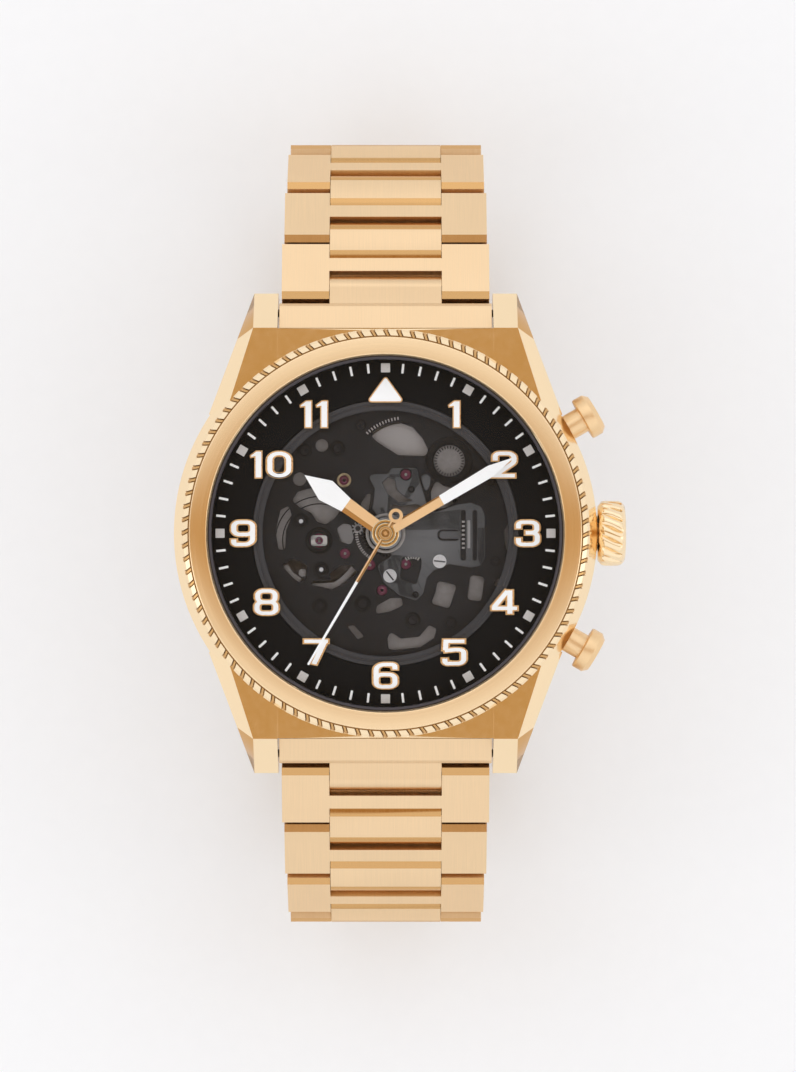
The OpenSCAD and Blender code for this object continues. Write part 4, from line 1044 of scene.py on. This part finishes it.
def screw_heads():
    """The slotted heads of the two screws that hold the raised bridge."""
    for number, (x, y, slot_angle) in enumerate(SCREW_HEADS):
        outlines = [circle(x, y, SCREW_R), box_outline(x, y, SCREW_R * 1.7, 0.16, 0.03, slot_angle)]
        head = cut_plate(f"screw_head_{number}", outlines, RAISED_TOP - 0.02, RAISED_TOP + 0.14, 0.03)
        settle(head, "silver_pad", "root")


def levers():
    """Pale levers under the openings beside the balance, and dark lines that stand for its rim: painted
    shade along its edges.
    """
    low = FLOOR_TOP - 0.02
    shapes = stroke(rounded(LEVER, 0.6, False), 0.6, False) + stroke(rounded(HOOK, 0.5, False), 0.75, False)
    shapes += [circle(-8.6, -4.1, 0.42), box_outline(-9.2, -1.05, 1.5, 0.3, 0.1, 6)]
    parts = cut_plate("balance_levers", shapes, low, low + 0.12, 0.03)
    fix(parts, "works_floor")
    lines = [sector(r, r + 0.12, *RIM_SHADE_LINE, BALANCE) for r in (3.75, 4.5)]
    rim = cut_plate("balance_rim_shade_lines", lines, low + 0.01, low + 0.05, 0.01)
    fix(rim, "works")


def bosses():
    """Round dark bosses, each with a pin in its middle. Two pins are white."""
    low = PLATE_TOP - 0.05
    parts, pins = [], {"works": [], "white": []}
    for base, group in ((PLATE_TOP, BOSSES), (RAISED_TOP, RAISED_BOSSES)):
        for x, y, r in group:
            parts.append(turned(f"boss_{len(parts)}", [
                (r * 0.28, low), (r, low), (r, base + 0.07), (r * 0.85, base + 0.13),
                (r * 0.6, base + 0.13), (r * 0.52, base - 0.02), (r * 0.28, base - 0.02)], (x, y), 40))
            look = "white" if (x, y) in BRIGHT_PINS else "works"
            pins[look].append(turned(f"pin_{len(parts)}", [
                (0.01, low), (r * 0.27, low), (r * 0.27, base + 0.08), (0.01, base + 0.12)], (x, y), 24))
    fix(join("plate_bosses", parts), "works_dark")
    for look, group in pins.items():
        fix(join(f"pins_{look}", group), look)


def balance_setting():
    """The seat round the balance's pivot: two dark rings and a bright oblong setting for the jewel."""
    low = PLATE_TOP - 0.05
    for name, look, inner, outer, top in (("balance_seat", "works_dark", 1.0, 1.38, 0.16),
                                          ("balance_ring", "works", 0.74, 0.98, 0.08)):
        ring = turned(name, [(inner, low), (outer, low), (outer, PLATE_TOP + top - 0.06),
                             (outer - 0.08, PLATE_TOP + top), (inner + 0.06, PLATE_TOP + top),
                             (inner, PLATE_TOP + top - 0.06)], BALANCE, 64)
        fix(ring, look)
    setting = cut_plate("balance_setting", [box_outline(*BALANCE, 1.7, 1.1, 0.3), circle(*BALANCE, 0.4)],
                        PLATE_TOP, PLATE_TOP + 0.2, 0.05)
    settle(setting, "works_pale", "root")
    ring = turned("gold_chaton", [(0.5, PLATE_TOP - 0.1), (0.74, PLATE_TOP - 0.1), (0.74, PLATE_TOP + 0.05),
                                  (0.66, PLATE_TOP + 0.1), (0.5, PLATE_TOP + 0.02)], (-4.3, 5.5), 40)
    settle(ring, "works_gold", "root")


plate()
raised_bridge()
rack_and_disc()
centre_rings()
screw_heads()
levers()
bosses()
balance_setting()


# ---- stage, light and camera

def stage():
    """A pale floor, a hair below the part so that the two surfaces don't coincide."""
    bottom = cad_low.z - 0.02 * MM
    half = 4.0
    corners = [(-half, -half, bottom), (half, -half, bottom), (half, half, bottom), (-half, half, bottom)]
    mesh = bpy.data.meshes.new("floor")
    mesh.from_pydata(corners, [], [(0, 1, 2, 3)])
    floor = bpy.data.objects.new("floor", mesh)
    bpy.context.scene.collection.objects.link(floor)
    s = Shader("floor_paper")
    grain = s.noise(s.place, (0.5, 0.5, 0.5))
    s.set(Base_Color=s.blend(grain, (0.92, 0.92, 0.917), (0.94, 0.94, 0.937)), Roughness=0.9)
    mesh.materials.append(s.material)


# half widths of the darker gap overhead, along X and Y, and the colours of gap, horizon and sky
GAP_HALF = (0.78, 0.135)
GAP = (0.55, 0.34, 0.135)
HORIZON = (0.86, 0.88, 0.91)
MID_SKY = (1.08, 1.10, 1.15)


def sky():
    """Soft studio light from all round, with a warm darker gap overhead that runs from left to right."""
    world = bpy.data.worlds.new("studio")
    bpy.context.scene.world = world
    world.use_nodes = True
    tree = world.node_tree

    def add(kind, values, **settings):
        node = tree.nodes.new(kind)
        for key, value in settings.items():
            setattr(node, key, value)
        for socket, value in zip(node.inputs, values):
            if isinstance(value, bpy.types.NodeSocket):
                tree.links.new(value, socket)
            elif value is not None:
                socket.default_value = value
        return node

    parts = add("ShaderNodeSeparateXYZ", [tree.nodes.new("ShaderNodeTexCoord").outputs["Generated"]])
    x, y, z = parts.outputs
    squares = []
    for value, half in ((x, GAP_HALF[0]), (y, GAP_HALF[1])):
        share = add("ShaderNodeMath", [value, half], operation="DIVIDE").outputs[0]
        squares.append(add("ShaderNodeMath", [share, 2.0], operation="POWER").outputs[0])
    away = add("ShaderNodeMath", squares, operation="ADD").outputs[0]
    open_share = add("ShaderNodeMapRange", [away, 0.35, 1.6, 0.0, 1.0]).outputs[0]
    ramp = add("ShaderNodeValToRGB", [z])
    for point, position, colour in zip(ramp.color_ramp.elements, (0.0, 0.5), (HORIZON, MID_SKY)):
        point.position = position
        point.color = (*colour, 1)
    mixed = add("ShaderNodeMix", [], data_type="RGBA")
    tree.links.new(open_share, mixed.inputs["Factor"])
    mixed.inputs["A"].default_value = (*GAP, 1)
    tree.links.new(ramp.outputs[0], mixed.inputs["B"])
    tree.links.new(mixed.outputs["Result"], tree.nodes["Background"].inputs["Color"])


def lamp(name, place, size, power):
    """A soft rectangular lamp that faces the origin."""
    data = bpy.data.lights.new(name, "AREA")
    data.shape = "RECTANGLE"
    data.size, data.size_y = size
    data.energy = power
    obj = bpy.data.objects.new(name, data)
    obj.location = place
    obj.rotation_euler = (Vector(place) * -1).to_track_quat("-Z", "Y").to_euler()
    bpy.context.scene.collection.objects.link(obj)


def camera():
    """Straight above the dial. The dial sits a little left of and above the middle of the picture."""
    distance = 400 * MM
    data = bpy.data.cameras.new("camera")
    data.lens = 130
    data.sensor_width = 36
    obj = bpy.data.objects.new("camera", data)
    obj.location = (1.29 * MM, -0.28 * MM, DIAL_TOP * MM + distance)
    bpy.context.scene.collection.objects.link(obj)
    bpy.context.scene.camera = obj


stage()
sky()
lamp("softbox_top", (0, 0.7, 0.75), (0.9, 0.4), 0.22)
lamp("softbox_left", (-0.8, -0.2, 0.5), (0.25, 0.7), 0.3)
lamp("softbox_right", (0.8, -0.1, 0.5), (0.25, 0.7), 0.3)
camera()
bpy.context.scene.view_settings.view_transform = "Standard"
